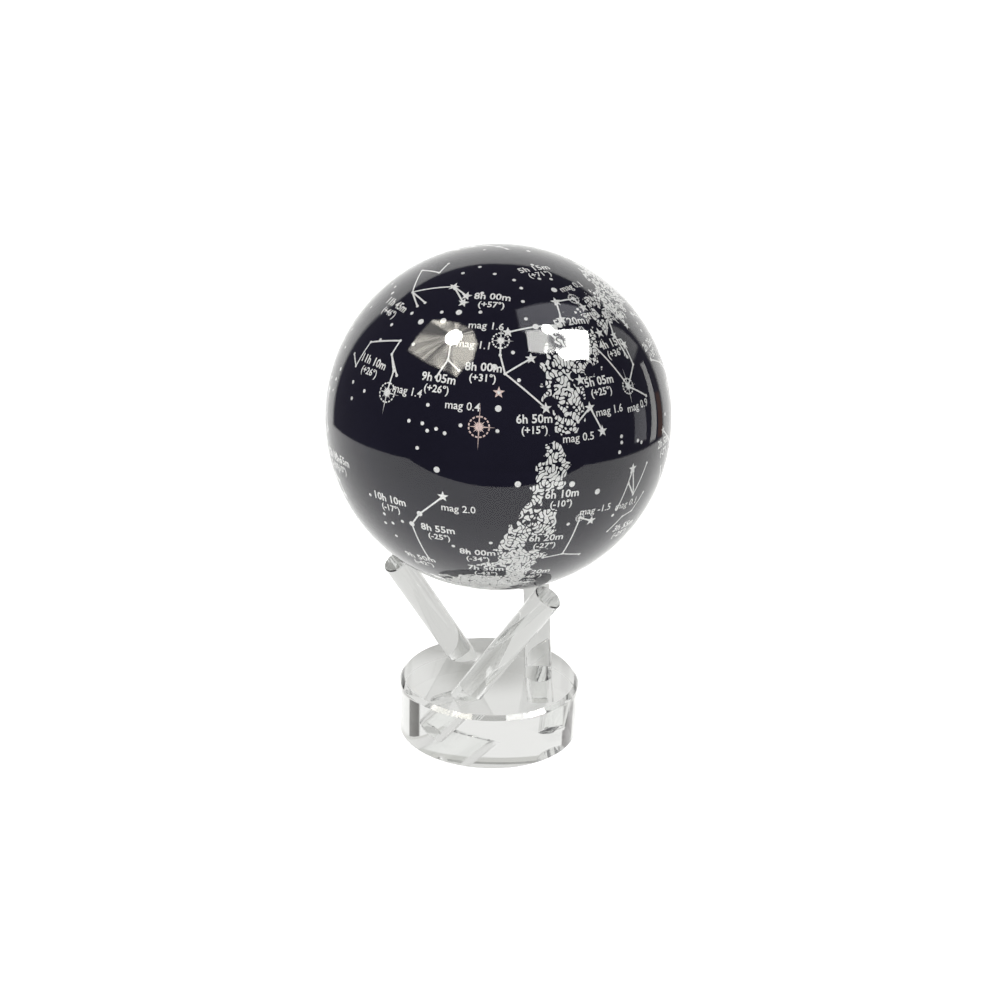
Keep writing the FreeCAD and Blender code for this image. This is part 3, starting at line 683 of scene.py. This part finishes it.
# %% [markdown]
# ## Stars, bursts and lines
# Three shapes make the whole chart. A star is a polygon whose radius swings between tips and
# notches. A burst is the same with long thin spikes up, down and to the sides, in a dashed ring. A
# line is a ribbon along the great circle between two stars.

# %% Chart shapes
STAR_RADIUS = 1.8 * MM
STAR_NOTCH = 0.42  # notch radius over tip radius
LINE_WIDTH = 0.52 * MM
LINE_STEP = math.radians(2.5)


def rim(layer, place, radii, first=90.0):
    """A closed outline at evenly spaced bearings, with those radii, fanned from its middle."""
    count = len(radii)
    bearing = np.radians(first) + 2 * np.pi * np.arange(count) / count
    across = np.concatenate([[0.0], radii * np.cos(bearing)])
    up = np.concatenate([[0.0], radii * np.sin(bearing)])
    way = np.broadcast_to(unit(*place), (count + 1, 3))
    index = np.arange(count)
    faces = np.stack([np.zeros(count, int), index + 1, (index + 1) % count + 1], -1)
    layer.put(on_globe(way, across, up), faces)


def dot(layer, place, radius):
    rim(layer, place, np.full(12, radius))


def star(layer, place, size=1.0):
    """Five tips, with a notch between each two."""
    rim(layer, place, STAR_RADIUS * size * np.tile([1.0, STAR_NOTCH], 5))


def dashed_ring(layer, place, radius, width, dashes=16, share=0.62):
    """Annular dashes as one grid: dash, then step along it, then its inner and outer edge."""
    start = np.arange(dashes) + 0.5 - share / 2
    bearing = (start[:, None] + np.linspace(0, share, 4)) * 2 * np.pi / dashes
    radii = radius + width * np.array([-0.5, 0.5])
    across = (np.cos(bearing)[..., None] * radii).ravel()
    up = (np.sin(bearing)[..., None] * radii).ravel()
    way = np.broadcast_to(unit(*place), (len(up), 3))
    index = np.arange(len(up)).reshape(dashes, 4, 2)
    faces = np.stack([index[:, :-1, 0], index[:, 1:, 0], index[:, 1:, 1], index[:, :-1, 1]], -1)
    layer.put(on_globe(way, across, up), faces.reshape(-1, 4))


def burst(layer, place, size=1.0):
    """Sixteen spikes about a core, the upright pair longest and the level pair next, in a ring."""
    tips = np.tile([2.2, 1.5], 8)
    tips[[0, 8]], tips[4], tips[12] = 6.6, 3.0, 4.6
    notches = np.full(16, 1.0)
    rim(layer, place, MM * size * np.stack([tips, notches], -1).ravel())
    dashed_ring(layer, place, 2.85 * MM * size, 0.45 * MM)


def line(layer, start, end, width=LINE_WIDTH):
    """Points slerped from start to end, each pushed half a width to both sides of the arc."""
    a, b = unit(*start), unit(*end)
    angle = math.acos(float(np.clip(a @ b, -1, 1)))
    steps = max(2, int(angle / LINE_STEP) + 1)
    t = np.linspace(0, 1, steps)[:, None]
    way = (np.sin((1 - t) * angle) * a + np.sin(t * angle) * b) / math.sin(angle)
    side = np.cross(a, b) / math.sin(angle) * width / (2 * INK_RADIUS)
    edges = np.stack([way - side, way + side], 1)
    edges /= np.linalg.norm(edges, axis=-1, keepdims=True)
    i = 2 * np.arange(steps - 1)
    faces = np.stack([i, i + 1, i + 3, i + 2], -1)
    layer.put(BALL_CENTRE + INK_RADIUS * edges.reshape(-1, 3), faces)


# %% [markdown]
# ## Figures on the viewer's side
# Each figure is a list of strokes, and each stroke is a list of places in whole chart degrees. The
# printed chart is stretched a little to fill the globe, so these are its own places, not a
# catalogue's.

# %% Figures on the viewer's side
NEAR_FIGURES = {
    "great_bear": [[(-65, 70), (-58, 65), (-78, 62), (-59, 54), (-34, 61), (-22, 58)],
                   [(-34, 61), (-22, 55)], [(-59, 54), (-44, 52)], [(-59, 54), (-47, 50)]],
    "crab": [[(-21, 42), (-20, 34), (-23, 28)], [(-20, 34), (-15, 31)]],
    "twins": [[(3, 45), (16, 47), (28, 47)], [(0, 42), (0, 37), (2, 31), (12, 36)],
              [(2, 31), (16, 20)]],
    "small_dog": [[(0, 25)]],
    "lion": [[(-62, 24), (-67, 27)], [(-62, 24), (-60, 33), (-44, 37), (-45, 32), (-41, 27), (-41, 21)],
             [(-45, 32), (-39, 26)]],
    "sea_serpent": [[(-17, -10), (-26, -18), (-30, -23), (-28, -39)]],
    "big_dog": [[(35, -20), (30, -18), (28, -34)], [(20, -35), (28, -34), (37, -36)]],
    "hunter": [[(27, 15), (32, 19), (36, 11)]],
    "hunters_foot": [[(46, -18), (50, -4), (53, -14), (49, -9)], [(53, -14), (58, -4)]],
    "bull": [[(41, 38), (51, 23), (58, 29), (58, 36)], [(51, 23), (60, 18)]],
    "charioteer": [[(45, 56), (32, 56), (30, 49)], [(45, 56), (47, 52)]],
    "hare": [[(46, -27), (51, -22), (56, -21), (60, -15)]],
}
NEAR_STARS = [(-22, 58), (-22, 55), (-34, 61), (3, 45), (12, 36), (16, 20), (32, 19), (36, 11), (30, 28),
              (35, -20), (-17, -10), (32, 56), (30, 49), (47, 52), (47, 42), (58, 36), (50, -4)]
NEAR_BURSTS = [(0, 42, 0.85), (-41, 20, 1.0), (45, 56, 0.6), (51, 23, 0.8), (30, -18, 0.45)]
NEAR_BIG_DOTS = [(-21, 42), (25, 46), (16, 47), (-30, -23), (-26, -18), (28, 47), (36, 61), (-22, 51),
                 (-28, 47), (-39, 45), (-19, -1), (7, -4), (25, -5), (35, -9), (0, 20), (-2, 33)]
NEAR_SMALL_DOTS = [(-27, 73), (-37, 68), (-8, 70), (38, 75), (9, 67), (31, 67), (41, 66), (13, 63), (12, 57),
                   (-13, 60), (12, 50), (-11, 52), (-31, 50), (-47, 47), (-54, 41),
                   (-37, 37), (-55, 35), (-60, 19), (-58, 14), (-52, 18), (-24, 19), (-30, 13), (-25, 13),
                   (-20, 12), (-23, 11), (-17, 11), (-12, 14), (-26, 5), (7, 29), (5, 38), (0, 13), (44, 8),
                   (44, 6), (43, 3), (52, 5), (54, 4), (-47, -16), (-42, -22), (-43, -26), (-39, -25),
                   (-34, -23), (-40, -31), (-1, -27), (-15, -30), (-10, -32), (26, -20), (45, -20)]
ROSE_BURST = (-6, 14, 1.05)
ROSE_STAR = (0, 25)

# %% [markdown]
# ## Figures on the far side
# The rest of the sky isn't seen from the front, so it follows the real one: right ascension in
# hours and declination in degrees, to the accuracy that a desk globe needs.

# %% Figures on the far side
FAR_FIGURES = {
    "little_bear": [[(2.5, 89), (17.5, 86.6), (16.8, 82), (15.7, 78), (14.9, 74), (15.3, 72), (16.3, 76),
                     (15.7, 78)]],
    "queen": [[(0.15, 59), (0.67, 56.5), (0.95, 60.7), (1.43, 60.2), (1.9, 63.7)]],
    "swan": [[(20.7, 45), (20.4, 40), (19.9, 35), (19.5, 28)], [(19.8, 45), (20.4, 40), (20.8, 34)]],
    "lyre": [[(18.6, 38.8), (18.8, 33.4), (19.0, 32.7), (18.9, 36.9), (18.6, 38.8)]],
    "eagle": [[(19.8, 10.6), (19.9, 8.9), (19.9, 6.4)], [(19.1, 13.9), (19.9, 8.9), (19.4, 3.1)]],
    "winged_horse": [[(21.7, 9.9), (22.7, 10.8), (23.1, 15.2), (23.1, 28.1), (0.1, 29.1), (0.2, 15.2),
                      (23.1, 15.2)]],
    "princess": [[(0.1, 29.1), (0.65, 30.9), (1.2, 35.6), (2.1, 42.3)]],
    "ram": [[(1.9, 20.8), (2.1, 23.5), (2.8, 27.3)]],
    "hero": [[(3.1, 53.5), (3.4, 49.9), (3.7, 47.8), (4.0, 40), (3.9, 31.9)], [(3.4, 49.9), (3.1, 41)]],
    "herdsman": [[(14.3, 19.2), (14.8, 27.1), (15.3, 33.3), (15.0, 40.4), (14.5, 38.3), (14.3, 19.2)]],
    "crown": [[(15.5, 29.1), (15.6, 26.7), (15.8, 26.1), (16.0, 26.9)]],
    "strong_man": [[(16.5, 21.5), (17.2, 24.8), (17.0, 30.9), (17.2, 36.8), (16.7, 38.9), (16.7, 31.6),
                    (17.0, 30.9)]],
    "maiden": [[(13.4, -11.2), (12.7, -1.4), (12.9, 3.4), (13.0, 11)]],
    "scales": [[(14.8, -16), (15.3, -9.4), (15.6, -14.8)]],
    "scorpion": [[(16.0, -22.6), (16.5, -26.4), (16.8, -34.3), (16.9, -42.4), (17.6, -43), (17.8, -40),
                  (17.6, -37.1)]],
    "archer": [[(18.4, -34.4), (18.35, -29.8), (18.5, -25.4)],
               [(18.35, -29.8), (19.0, -29.9), (18.9, -26.3), (18.35, -29.8)]],
    "sea_goat": [[(20.3, -12.5), (21.8, -16.1), (21.4, -22.4), (20.3, -12.5)]],
    "water_bearer": [[(22.6, -0.1), (22.1, -0.3), (21.5, -5.6), (20.8, -9.5)]],
    "fishes": [[(1.5, 15.3), (2.0, 2.8), (1.0, 7.9), (23.6, 5.6), (23.3, 3.3)]],
    "whale": [[(0.7, -18), (1.9, -10.3), (2.3, -3), (3.0, 4.1)], [(1.9, -10.3), (1.1, -10.2)]],
    "crow": [[(12.3, -17.5), (12.5, -16.5), (12.6, -23.4), (12.2, -22.6), (12.3, -17.5)]],
    "cross": [[(12.4, -63.1), (12.5, -57.1)], [(12.8, -59.7), (12.25, -58.7)]],
    "centaur": [[(14.7, -60.8), (14.1, -60.4), (13.7, -53.5), (13.9, -47.3), (14.1, -36.4)]],
    "keel": [[(6.4, -52.7), (8.4, -59.5), (9.2, -69.7)]],
    "crane": [[(22.1, -47), (22.7, -46.9), (22.8, -51.3)], [(22.7, -46.9), (21.9, -37.4)]],
    "river": [[(2.9, -8.9), (2.3, -23), (3.0, -40.3), (1.6, -57.2)]],
    "triangle": [[(16.8, -69), (15.3, -68.7), (15.9, -63.4), (16.8, -69)]],
}
FAR_BURSTS = [(14.26, 19.2), (18.62, 38.8), (19.85, 8.9), (20.69, 45.3), (13.42, -11.2), (16.49, -26.4),
              (22.96, -29.6), (1.63, -57.2), (6.4, -52.7), (14.66, -60.8)]

# %% Print the figures
BIG_DOT = 0.95 * MM
SMALL_DOT = 0.58 * MM
JOINT_DOT = 0.5 * MM  # where strokes meet and no star or big dot is printed
FAR_DOT = 0.6 * MM
FAR_STAR_SIZE = 0.8
FAR_BURST_SIZE = 0.9


def put_strokes(layer, places):
    for start, end in zip(places, places[1:]):
        line(layer, start, end)


silver = Print()
for strokes in NEAR_FIGURES.values():
    for stroke in strokes:
        put_strokes(silver, stroke)
for place in NEAR_STARS:
    star(silver, place)
for east, north, size in NEAR_BURSTS:
    burst(silver, (east, north), size)
for place in NEAR_BIG_DOTS:
    dot(silver, place, BIG_DOT)
for place in NEAR_SMALL_DOTS:
    dot(silver, place, SMALL_DOT)
joints_of_figures = {p for strokes in NEAR_FIGURES.values() for stroke in strokes for p in stroke}
for place in sorted(joints_of_figures - set(NEAR_STARS) - set(NEAR_BIG_DOTS)):
    dot(silver, place, JOINT_DOT)
for strokes in FAR_FIGURES.values():
    for stroke in strokes:
        places = [sky(*entry) for entry in stroke]
        put_strokes(silver, places)
        for index, place in enumerate(places):
            if index % 2:
                star(silver, place, FAR_STAR_SIZE)
            else:
                dot(silver, place, FAR_DOT)
for entry in FAR_BURSTS:
    burst(silver, sky(*entry), FAR_BURST_SIZE)
silver.make("printed_figures", SILVER_INK)

rose = Print()
burst(rose, ROSE_BURST[:2], ROSE_BURST[2])
star(rose, ROSE_STAR)
rose.make("printed_rose_stars", ROSE_INK)

# %% [markdown]
# ## Scattered stars
# Small stars fill the sky that isn't seen from the front. They are drawn evenly over the sphere from
# a fixed seed: the height along the axis is uniform, which is what makes a spread even on a sphere.
# Those that fall on the viewer's side are dropped, because that side has its own.

# %% Scattered stars
SCATTERED_STARS = 420
chance = np.random.default_rng(7)
heights = chance.uniform(-1, 1, SCATTERED_STARS)
easts = chance.uniform(-180, 180, SCATTERED_STARS)
sizes = 0.40 + 0.45 * chance.uniform(0, 1, SCATTERED_STARS) ** 2
NEAR_SIDE = 72.0  # degrees east and west of the facing meridian
small_stars = Print()
for east, height, size in zip(easts, heights, sizes):
    if abs(east) > NEAR_SIDE:
        dot(small_stars, (east, math.degrees(math.asin(height))), size * MM)
small_stars.make("printed_small_stars", SILVER_INK)

# %% [markdown]
# ## Where the lettering goes
# A chart is lettered. Here each figure carries its place, as right ascension over declination, and
# each bright star its magnitude, so the lettering is only numbers, as on a dial. The places come
# before the Milky Way, because its film is left out around them.

# %% Lettering places
FIGURE_LETTER = 3.6 * MM
STAR_LETTER = 3.4 * MM
FIGURE_WEIGHT = 0.022
STAR_WEIGHT = 0.008
LOWER_LINE = 0.85  # the lower line's height over the upper's
NEAR_LABELS = [(-6, 57), (-62, 46), (-22, 26), (-6, 31), (-53, 26), (-20, -25), (-38, -17), (-6, -34),
               (-3, -43), (22, -10), (19, -27), (12, 15), (38, 25), (51, 36), (34, 46), (35, 71), (78, 30),
               (-33, -42), (56, -29), (-64, -10)]
NEAR_MAGNITUDES = [(-7, 47, "1.6"), (-11, 40, "1.1"), (-12, 20, "0.4"), (-33, 22, "1.4"), (-12, -14, "2.0"),
                   (36, -16, "-1.5"), (40, 17, "1.6"), (27, 10, "0.5"), (54, 16, "0.9"), (51, -17, "0.1"),
                   (52, 61, "0.1")]
LABEL_ROOM = (6.0 * MM, 3.1 * MM)  # half width and half height left free of the Milky Way
MAGNITUDE_ROOM = (5.6 * MM, 1.5 * MM)
STAR_ROOM = (2.0 * MM, 2.0 * MM)

# %% [markdown]
# ## Milky Way
# On the real globe this band is a silver film crossed by fine dark squiggles. Squiggles of one size
# are where a sum of many plane waves, all of one wavelength and in random directions, is near zero.
# So the film is where the sum's size is above a threshold, inside the band's ragged edge, and clear
# of the lettering and the stars. Each grid triangle is kept, cut or dropped by its corners' signs.

# %% Milky Way
# places east and north along the band's middle, and its half width, all in degrees
BAND = [(-5, -55, 9), (5, -42, 8), (11, -29, 7.5), (14, -19, 6.5), (16, -10, 5), (18, 1, 5), (20, 8, 3.4),
        (23, 17, 6.2), (25, 28, 8), (31, 38, 8.5), (43, 45, 7), (56, 49, 6), (75, 51, 7), (95, 57, 8),
        (120, 58, 7), (143, 50, 7), (160, 36, 8), (171, 20, 8), (180, 5, 8), (-170, -10, 9),
        (-156, -26, 11), (-145, -38, 10), (-128, -48, 8), (-105, -57, 7), (-75, -62, 6), (-40, -61, 7)]
BAND_CELL = 0.17 * MM
SQUIGGLE = 1.7 * MM  # wavelength
PATCHES = 5.5 * MM  # wavelength of the gaps in the film
RAGGED = 0.6 * PATCHES  # wavelength of its ragged edge
SQUIGGLE_WIDTH = 0.18  # threshold for the dark squiggles in the south
SQUIGGLE_WIDER = 0.38  # and how much is added to it towards the north
BAND_REACH = 1.3  # the grid's half width over the band's
WAVES = 90
STRETCHES = 8  # each a piece of its own, so that none is too heavy


def band_course():
    """Catmull-Rom through the band's places as unit vectors, closed, at an even step."""
    knots = np.array(BAND, float)
    values = np.concatenate([unit(knots[:, 0], knots[:, 1]), knots[:, 2:]], 1)
    before, here = np.roll(values, 1, 0), values
    after, beyond = np.roll(values, -1, 0), np.roll(values, -2, 0)
    t = np.linspace(0, 1, 40, endpoint=False)[:, None, None]
    course = 0.5 * (2 * here + (after - before) * t + (2 * before - 5 * here + 4 * after - beyond) * t**2
                    + (3 * here - before - 3 * after + beyond) * t**3)
    course = course.transpose(1, 0, 2).reshape(-1, 4)
    course[:, :3] /= np.linalg.norm(course[:, :3], axis=1, keepdims=True)
    closed = np.concatenate([course, course[:1]])
    lengths = np.linalg.norm(np.diff(closed[:, :3], axis=0), axis=1) * INK_RADIUS
    along = np.concatenate([[0.0], np.cumsum(lengths)])
    even = np.linspace(0, along[-1], int(along[-1] / BAND_CELL))
    course = np.stack([np.interp(even, along, closed[:, k]) for k in range(4)], -1)
    way = course[:, :3] / np.linalg.norm(course[:, :3], axis=1, keepdims=True)
    return way, np.radians(course[:, 3])


def wave_field(points, wavelength, seed):
    """The sum of WAVES cosines of one wavelength and random directions, scaled to unit spread."""
    draw = np.random.default_rng(seed)
    ways = draw.normal(size=(WAVES, 3))
    ways *= 2 * np.pi / wavelength / np.linalg.norm(ways, axis=1, keepdims=True)
    shifts = draw.uniform(0, 2 * np.pi, WAVES)
    total = np.zeros(points.shape[:-1])
    for wave, shift in zip(ways, shifts):
        total += np.cos(points @ wave + shift)
    return total * math.sqrt(2 / WAVES)


def cut_sheet(layer, points, field, chosen_cells):
    """Marching triangles: the part of a grid where field is above zero, cut by straight lines."""
    rows, columns = field.shape
    i, j = np.nonzero(chosen_cells[:-1, :-1])
    a, b = i * columns + j, i * columns + j + 1
    c, d = b + columns, a + columns
    corners = np.concatenate([np.stack([a, b, c], -1), np.stack([a, c, d], -1)])
    points, field = points.reshape(-1, 3), field.ravel()
    inside = field[corners] > 0
    count = inside.sum(1)
    for kept in (1, 2):
        chosen, signs = corners[count == kept], inside[count == kept]
        odd = np.argmax(signs == (kept == 1), axis=1)
        order = (odd[:, None] + np.arange(3)) % 3
        p, q, r = np.take_along_axis(chosen, order, 1).T
        cut_q = points[p] + (field[p] / (field[p] - field[q]))[:, None] * (points[q] - points[p])
        cut_r = points[p] + (field[p] / (field[p] - field[r]))[:, None] * (points[r] - points[p])
        ring = [points[p], cut_q, cut_r] if kept == 1 else [cut_q, points[q], points[r], cut_r]
        block = np.stack(ring, 1)
        layer.put(block.reshape(-1, 3), np.arange(block.shape[0] * len(ring)).reshape(-1, len(ring)))
    whole = corners[count == 3]
    layer.put(points[whole].reshape(-1, 3), np.arange(whole.size).reshape(-1, 3))


def clear_of(points, place, half_width, half_height):
    """Above zero outside a rounded box about a place, from the points' offsets east and north."""
    way = unit(*place)
    east, north = east_and_north(way)
    offset = points - (BALL_CENTRE + INK_RADIUS * way)
    across, up = offset @ east / half_width, offset @ north / half_height
    return (across**8 + up**8) ** 0.125 - 1.0


def band_field(points, across):
    """The least of: squiggles, missing patches, the ragged edge, and room for stars and letters."""
    height = (points[..., 2] - BALL_CENTRE[2]) / INK_RADIUS
    north = np.clip(5 * height + 0.3, 0, 1)
    open_way = np.clip(2 * height + 1.5, 0, 1)
    far_out = np.clip(3 * points[..., 0] / INK_RADIUS - 1.6, 0, 1)
    squiggles = np.abs(wave_field(points, SQUIGGLE, 21)) - SQUIGGLE_WIDTH - SQUIGGLE_WIDER * open_way
    patches = wave_field(points, PATCHES, 5) + 2.3 - 1.0 * north - 0.9 * far_out * north
    edge = 1.0 - np.abs(across)[None, :] + 0.13 * wave_field(points, RAGGED, 8)
    field = np.minimum(np.minimum(squiggles, patches), edge * 4)
    for place in NEAR_LABELS:
        field = np.minimum(field, clear_of(points, place, *LABEL_ROOM))
    for east, north, _ in NEAR_MAGNITUDES:
        field = np.minimum(field, clear_of(points, (east, north), *MAGNITUDE_ROOM))
    for place in NEAR_STARS:
        field = np.minimum(field, clear_of(points, place, *STAR_ROOM))
    return field


def make_band():
    """A grid along and across the band, bent round the globe, cut by its field, in eight stretches."""
    way, half = band_course()
    heading = np.roll(way, -1, 0) - np.roll(way, 1, 0)
    side = np.cross(way, heading)
    side /= np.linalg.norm(side, axis=1, keepdims=True)
    columns = int(2 * half.max() * INK_RADIUS * BAND_REACH / BAND_CELL)
    across = np.linspace(-BAND_REACH, BAND_REACH, columns)
    lean = across[None, :] * half[:, None]
    points = np.cos(lean)[..., None] * way[:, None] + np.sin(lean)[..., None] * side[:, None]
    points = BALL_CENTRE + INK_RADIUS * points
    field = band_field(points, across)
    for number, rows in enumerate(np.array_split(np.arange(len(way) - 1), STRETCHES), start=1):
        stretch = np.zeros(field.shape, bool)
        stretch[rows] = True
        layer = Print()
        cut_sheet(layer, points, field, stretch)
        layer.make(f"milky_way_{number}", SILVER_INK)


make_band()

# %% [markdown]
# ## Lettering
# Every string is Blender's own font turned into a mesh, then bent onto the globe: across and up
# become east and north.

# %% Lettering
def flat_letters(text, slant=0.0, weight=0.0):
    """A string as flat points and triangles, centred, with letters one unit high."""
    curve = bpy.data.curves.new("letters", "FONT")
    curve.body, curve.align_x, curve.align_y = text, "CENTER", "CENTER"
    curve.resolution_u, curve.shear, curve.offset = 2, slant, weight
    words = bpy.data.objects.new("letters", curve)
    scene.collection.objects.link(words)
    mesh = bpy.data.meshes.new_from_object(words.evaluated_get(bpy.context.evaluated_depsgraph_get()))
    points = np.empty(len(mesh.vertices) * 3)
    mesh.vertices.foreach_get("co", points)
    mesh.calc_loop_triangles()
    faces = np.empty(len(mesh.loop_triangles) * 3, int)
    mesh.loop_triangles.foreach_get("vertices", faces)
    bpy.data.objects.remove(words)
    bpy.data.curves.remove(curve)
    bpy.data.meshes.remove(mesh)
    return points.reshape(-1, 3)[:, :2], faces.reshape(-1, 3)


def letter(layer, place, text, height, **style):
    points, faces = flat_letters(text, **style)
    way = np.broadcast_to(unit(*place), (len(points), 3))
    layer.put(on_globe(way, points[:, 0] * height, points[:, 1] * height), faces)


def place_lines(layer, place):
    """Right ascension over a smaller line of declination in brackets."""
    hour = (FACING_HOUR - place[0] / 15.0) % 24
    minutes = 5 * int((hour % 1) * 12)
    drop = math.degrees(0.45 * FIGURE_LETTER / INK_RADIUS)
    east, north = place
    ascension, declination = f"{int(hour)}h {minutes:02d}m", f"({round(north):+d}°)"
    letter(layer, (east, north + drop), ascension, FIGURE_LETTER, weight=FIGURE_WEIGHT)
    letter(layer, (east, north - drop), declination, LOWER_LINE * FIGURE_LETTER, weight=FIGURE_WEIGHT)


lettering = Print()
for place in NEAR_LABELS:
    place_lines(lettering, place)
for east, north, magnitude in NEAR_MAGNITUDES:
    letter(lettering, (east, north), f"mag {magnitude}", STAR_LETTER, weight=STAR_WEIGHT)
lettering.make("printed_near_lettering", SILVER_INK)

far_lettering = Print()
for strokes in FAR_FIGURES.values():
    east, north = sky(*strokes[0][0])
    if abs(north) < 80:
        place_lines(far_lettering, (east, north - math.copysign(7, north)))
far_lettering.make("printed_far_lettering", SILVER_INK)

# %% [markdown]
# ## The works inside
# The globe hides its works, but they are finished like the real parts: drawn steel, turned brass,
# moulded black plastic, blue cells, a green board.

# %% Finishes for the works
WORKS_GRAIN_HEIGHT = 0.04 * MM
ROUGHER = 0.12  # how much rougher a finish is where its grain is light


def works_material(name, dark, light, metallic, rough, scale, coat=0.0):
    """A finish whose tone, roughness and height all follow one grain."""
    material, tree, surface = new_material(name, Metallic=metallic, Coat_Weight=coat)
    grain = place_group(tree, GRAIN, Scale=scale)
    tone = grain.outputs["Tone"]
    wire(tree, surface.inputs["Base Color"], blend(tree, tone, (*dark, 1.0), (*light, 1.0)))
    wire(tree, surface.inputs["Roughness"], ramp(tree, tone, 0.0, 1.0, rough, rough + ROUGHER))
    bump = {"Strength": 0.3, "Distance": WORKS_GRAIN_HEIGHT, "Height": grain.outputs["Height"]}
    wire(tree, surface.inputs["Normal"], add(tree, "ShaderNodeBump", bump))
    return material


FINGERS_PER_METRE = 500.0


def cell_material():
    """A dark blue cell under a clear coat, crossed by thin silver fingers every two millimetres."""
    material, tree, surface = new_material("solar_cell", Roughness=0.3, Coat_Weight=1.0)
    place = add(tree, "ShaderNodeTexCoord", output=3)
    x = add(tree, "ShaderNodeSeparateXYZ", (place,), output=0)
    turn = maths(tree, "FRACT", maths(tree, "MULTIPLY", x, FINGERS_PER_METRE))
    finger = ramp(tree, maths(tree, "ABSOLUTE", maths(tree, "SUBTRACT", turn, 0.5)), 0.07, 0.04)
    grain = place_group(tree, GRAIN, Scale=400.0)
    blue = blend(tree, grain.outputs["Tone"], (0.006, 0.010, 0.045, 1.0), (0.012, 0.022, 0.09, 1.0))
    wire(tree, surface.inputs["Base Color"], blend(tree, finger, blue, (0.6, 0.6, 0.62, 1.0)))
    wire(tree, surface.inputs["Metallic"], finger)
    return material


# dark tone, light tone, metallic, roughness, grain scale and, for the board, its coat
WORKS_LOOKS = {
    "black_moulding": ((0.012, 0.012, 0.012), (0.03, 0.03, 0.03), 0, 0.45, 900),
    "cast_weight": ((0.10, 0.10, 0.11), (0.2, 0.2, 0.21), 0.9, 0.5, 500),
    "screw_steel": ((0.45, 0.46, 0.48), (0.6, 0.61, 0.63), 1, 0.25, 3000),
    "tinned_copper": ((0.6, 0.6, 0.58), (0.75, 0.75, 0.73), 1, 0.3, 2500),
    "circuit_board": ((0.005, 0.06, 0.025), (0.01, 0.1, 0.045), 0, 0.35, 1200, 0.5),
    "chip_epoxy": ((0.012, 0.012, 0.012), (0.025, 0.025, 0.025), 0, 0.6, 2500),
    "capacitor_sleeve": ((0.01, 0.01, 0.03), (0.02, 0.02, 0.06), 0, 0.3, 1500),
    "motor_steel": ((0.5, 0.51, 0.52), (0.65, 0.66, 0.67), 1, 0.22, 2000),
    "lead_insulation": ((0.3, 0.015, 0.01), (0.45, 0.03, 0.02), 0, 0.4, 1500),
    "bearing_brass": ((0.5, 0.34, 0.12), (0.68, 0.5, 0.2), 1, 0.2, 2500),
    "post_brass": ((0.5, 0.34, 0.12), (0.66, 0.48, 0.2), 1, 0.28, 1800),
    "gear_brass": ((0.52, 0.36, 0.13), (0.7, 0.52, 0.22), 1, 0.24, 2200),
    "shaft_steel": ((0.5, 0.51, 0.53), (0.66, 0.67, 0.69), 1, 0.15, 3500),
    "gear_moulding": ((0.62, 0.6, 0.54), (0.74, 0.72, 0.66), 0, 0.4, 900),
    "magnet": ((0.35, 0.36, 0.38), (0.48, 0.49, 0.51), 1, 0.25, 1400),
}
works = {slot: works_material(slot, *look) for slot, look in WORKS_LOOKS.items()}
works["solar_cell"] = cell_material()
for entry in frame["record"]["subparts"]:
    finish = works.get(entry["material_slot"])
    if finish:
        finish_node(entry["node"], finish)

# %% Measure and finish
sizes = {"cad_box": [list(corner) for corner in cad_box],
         "visual_box": [list(corner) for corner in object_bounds()]}
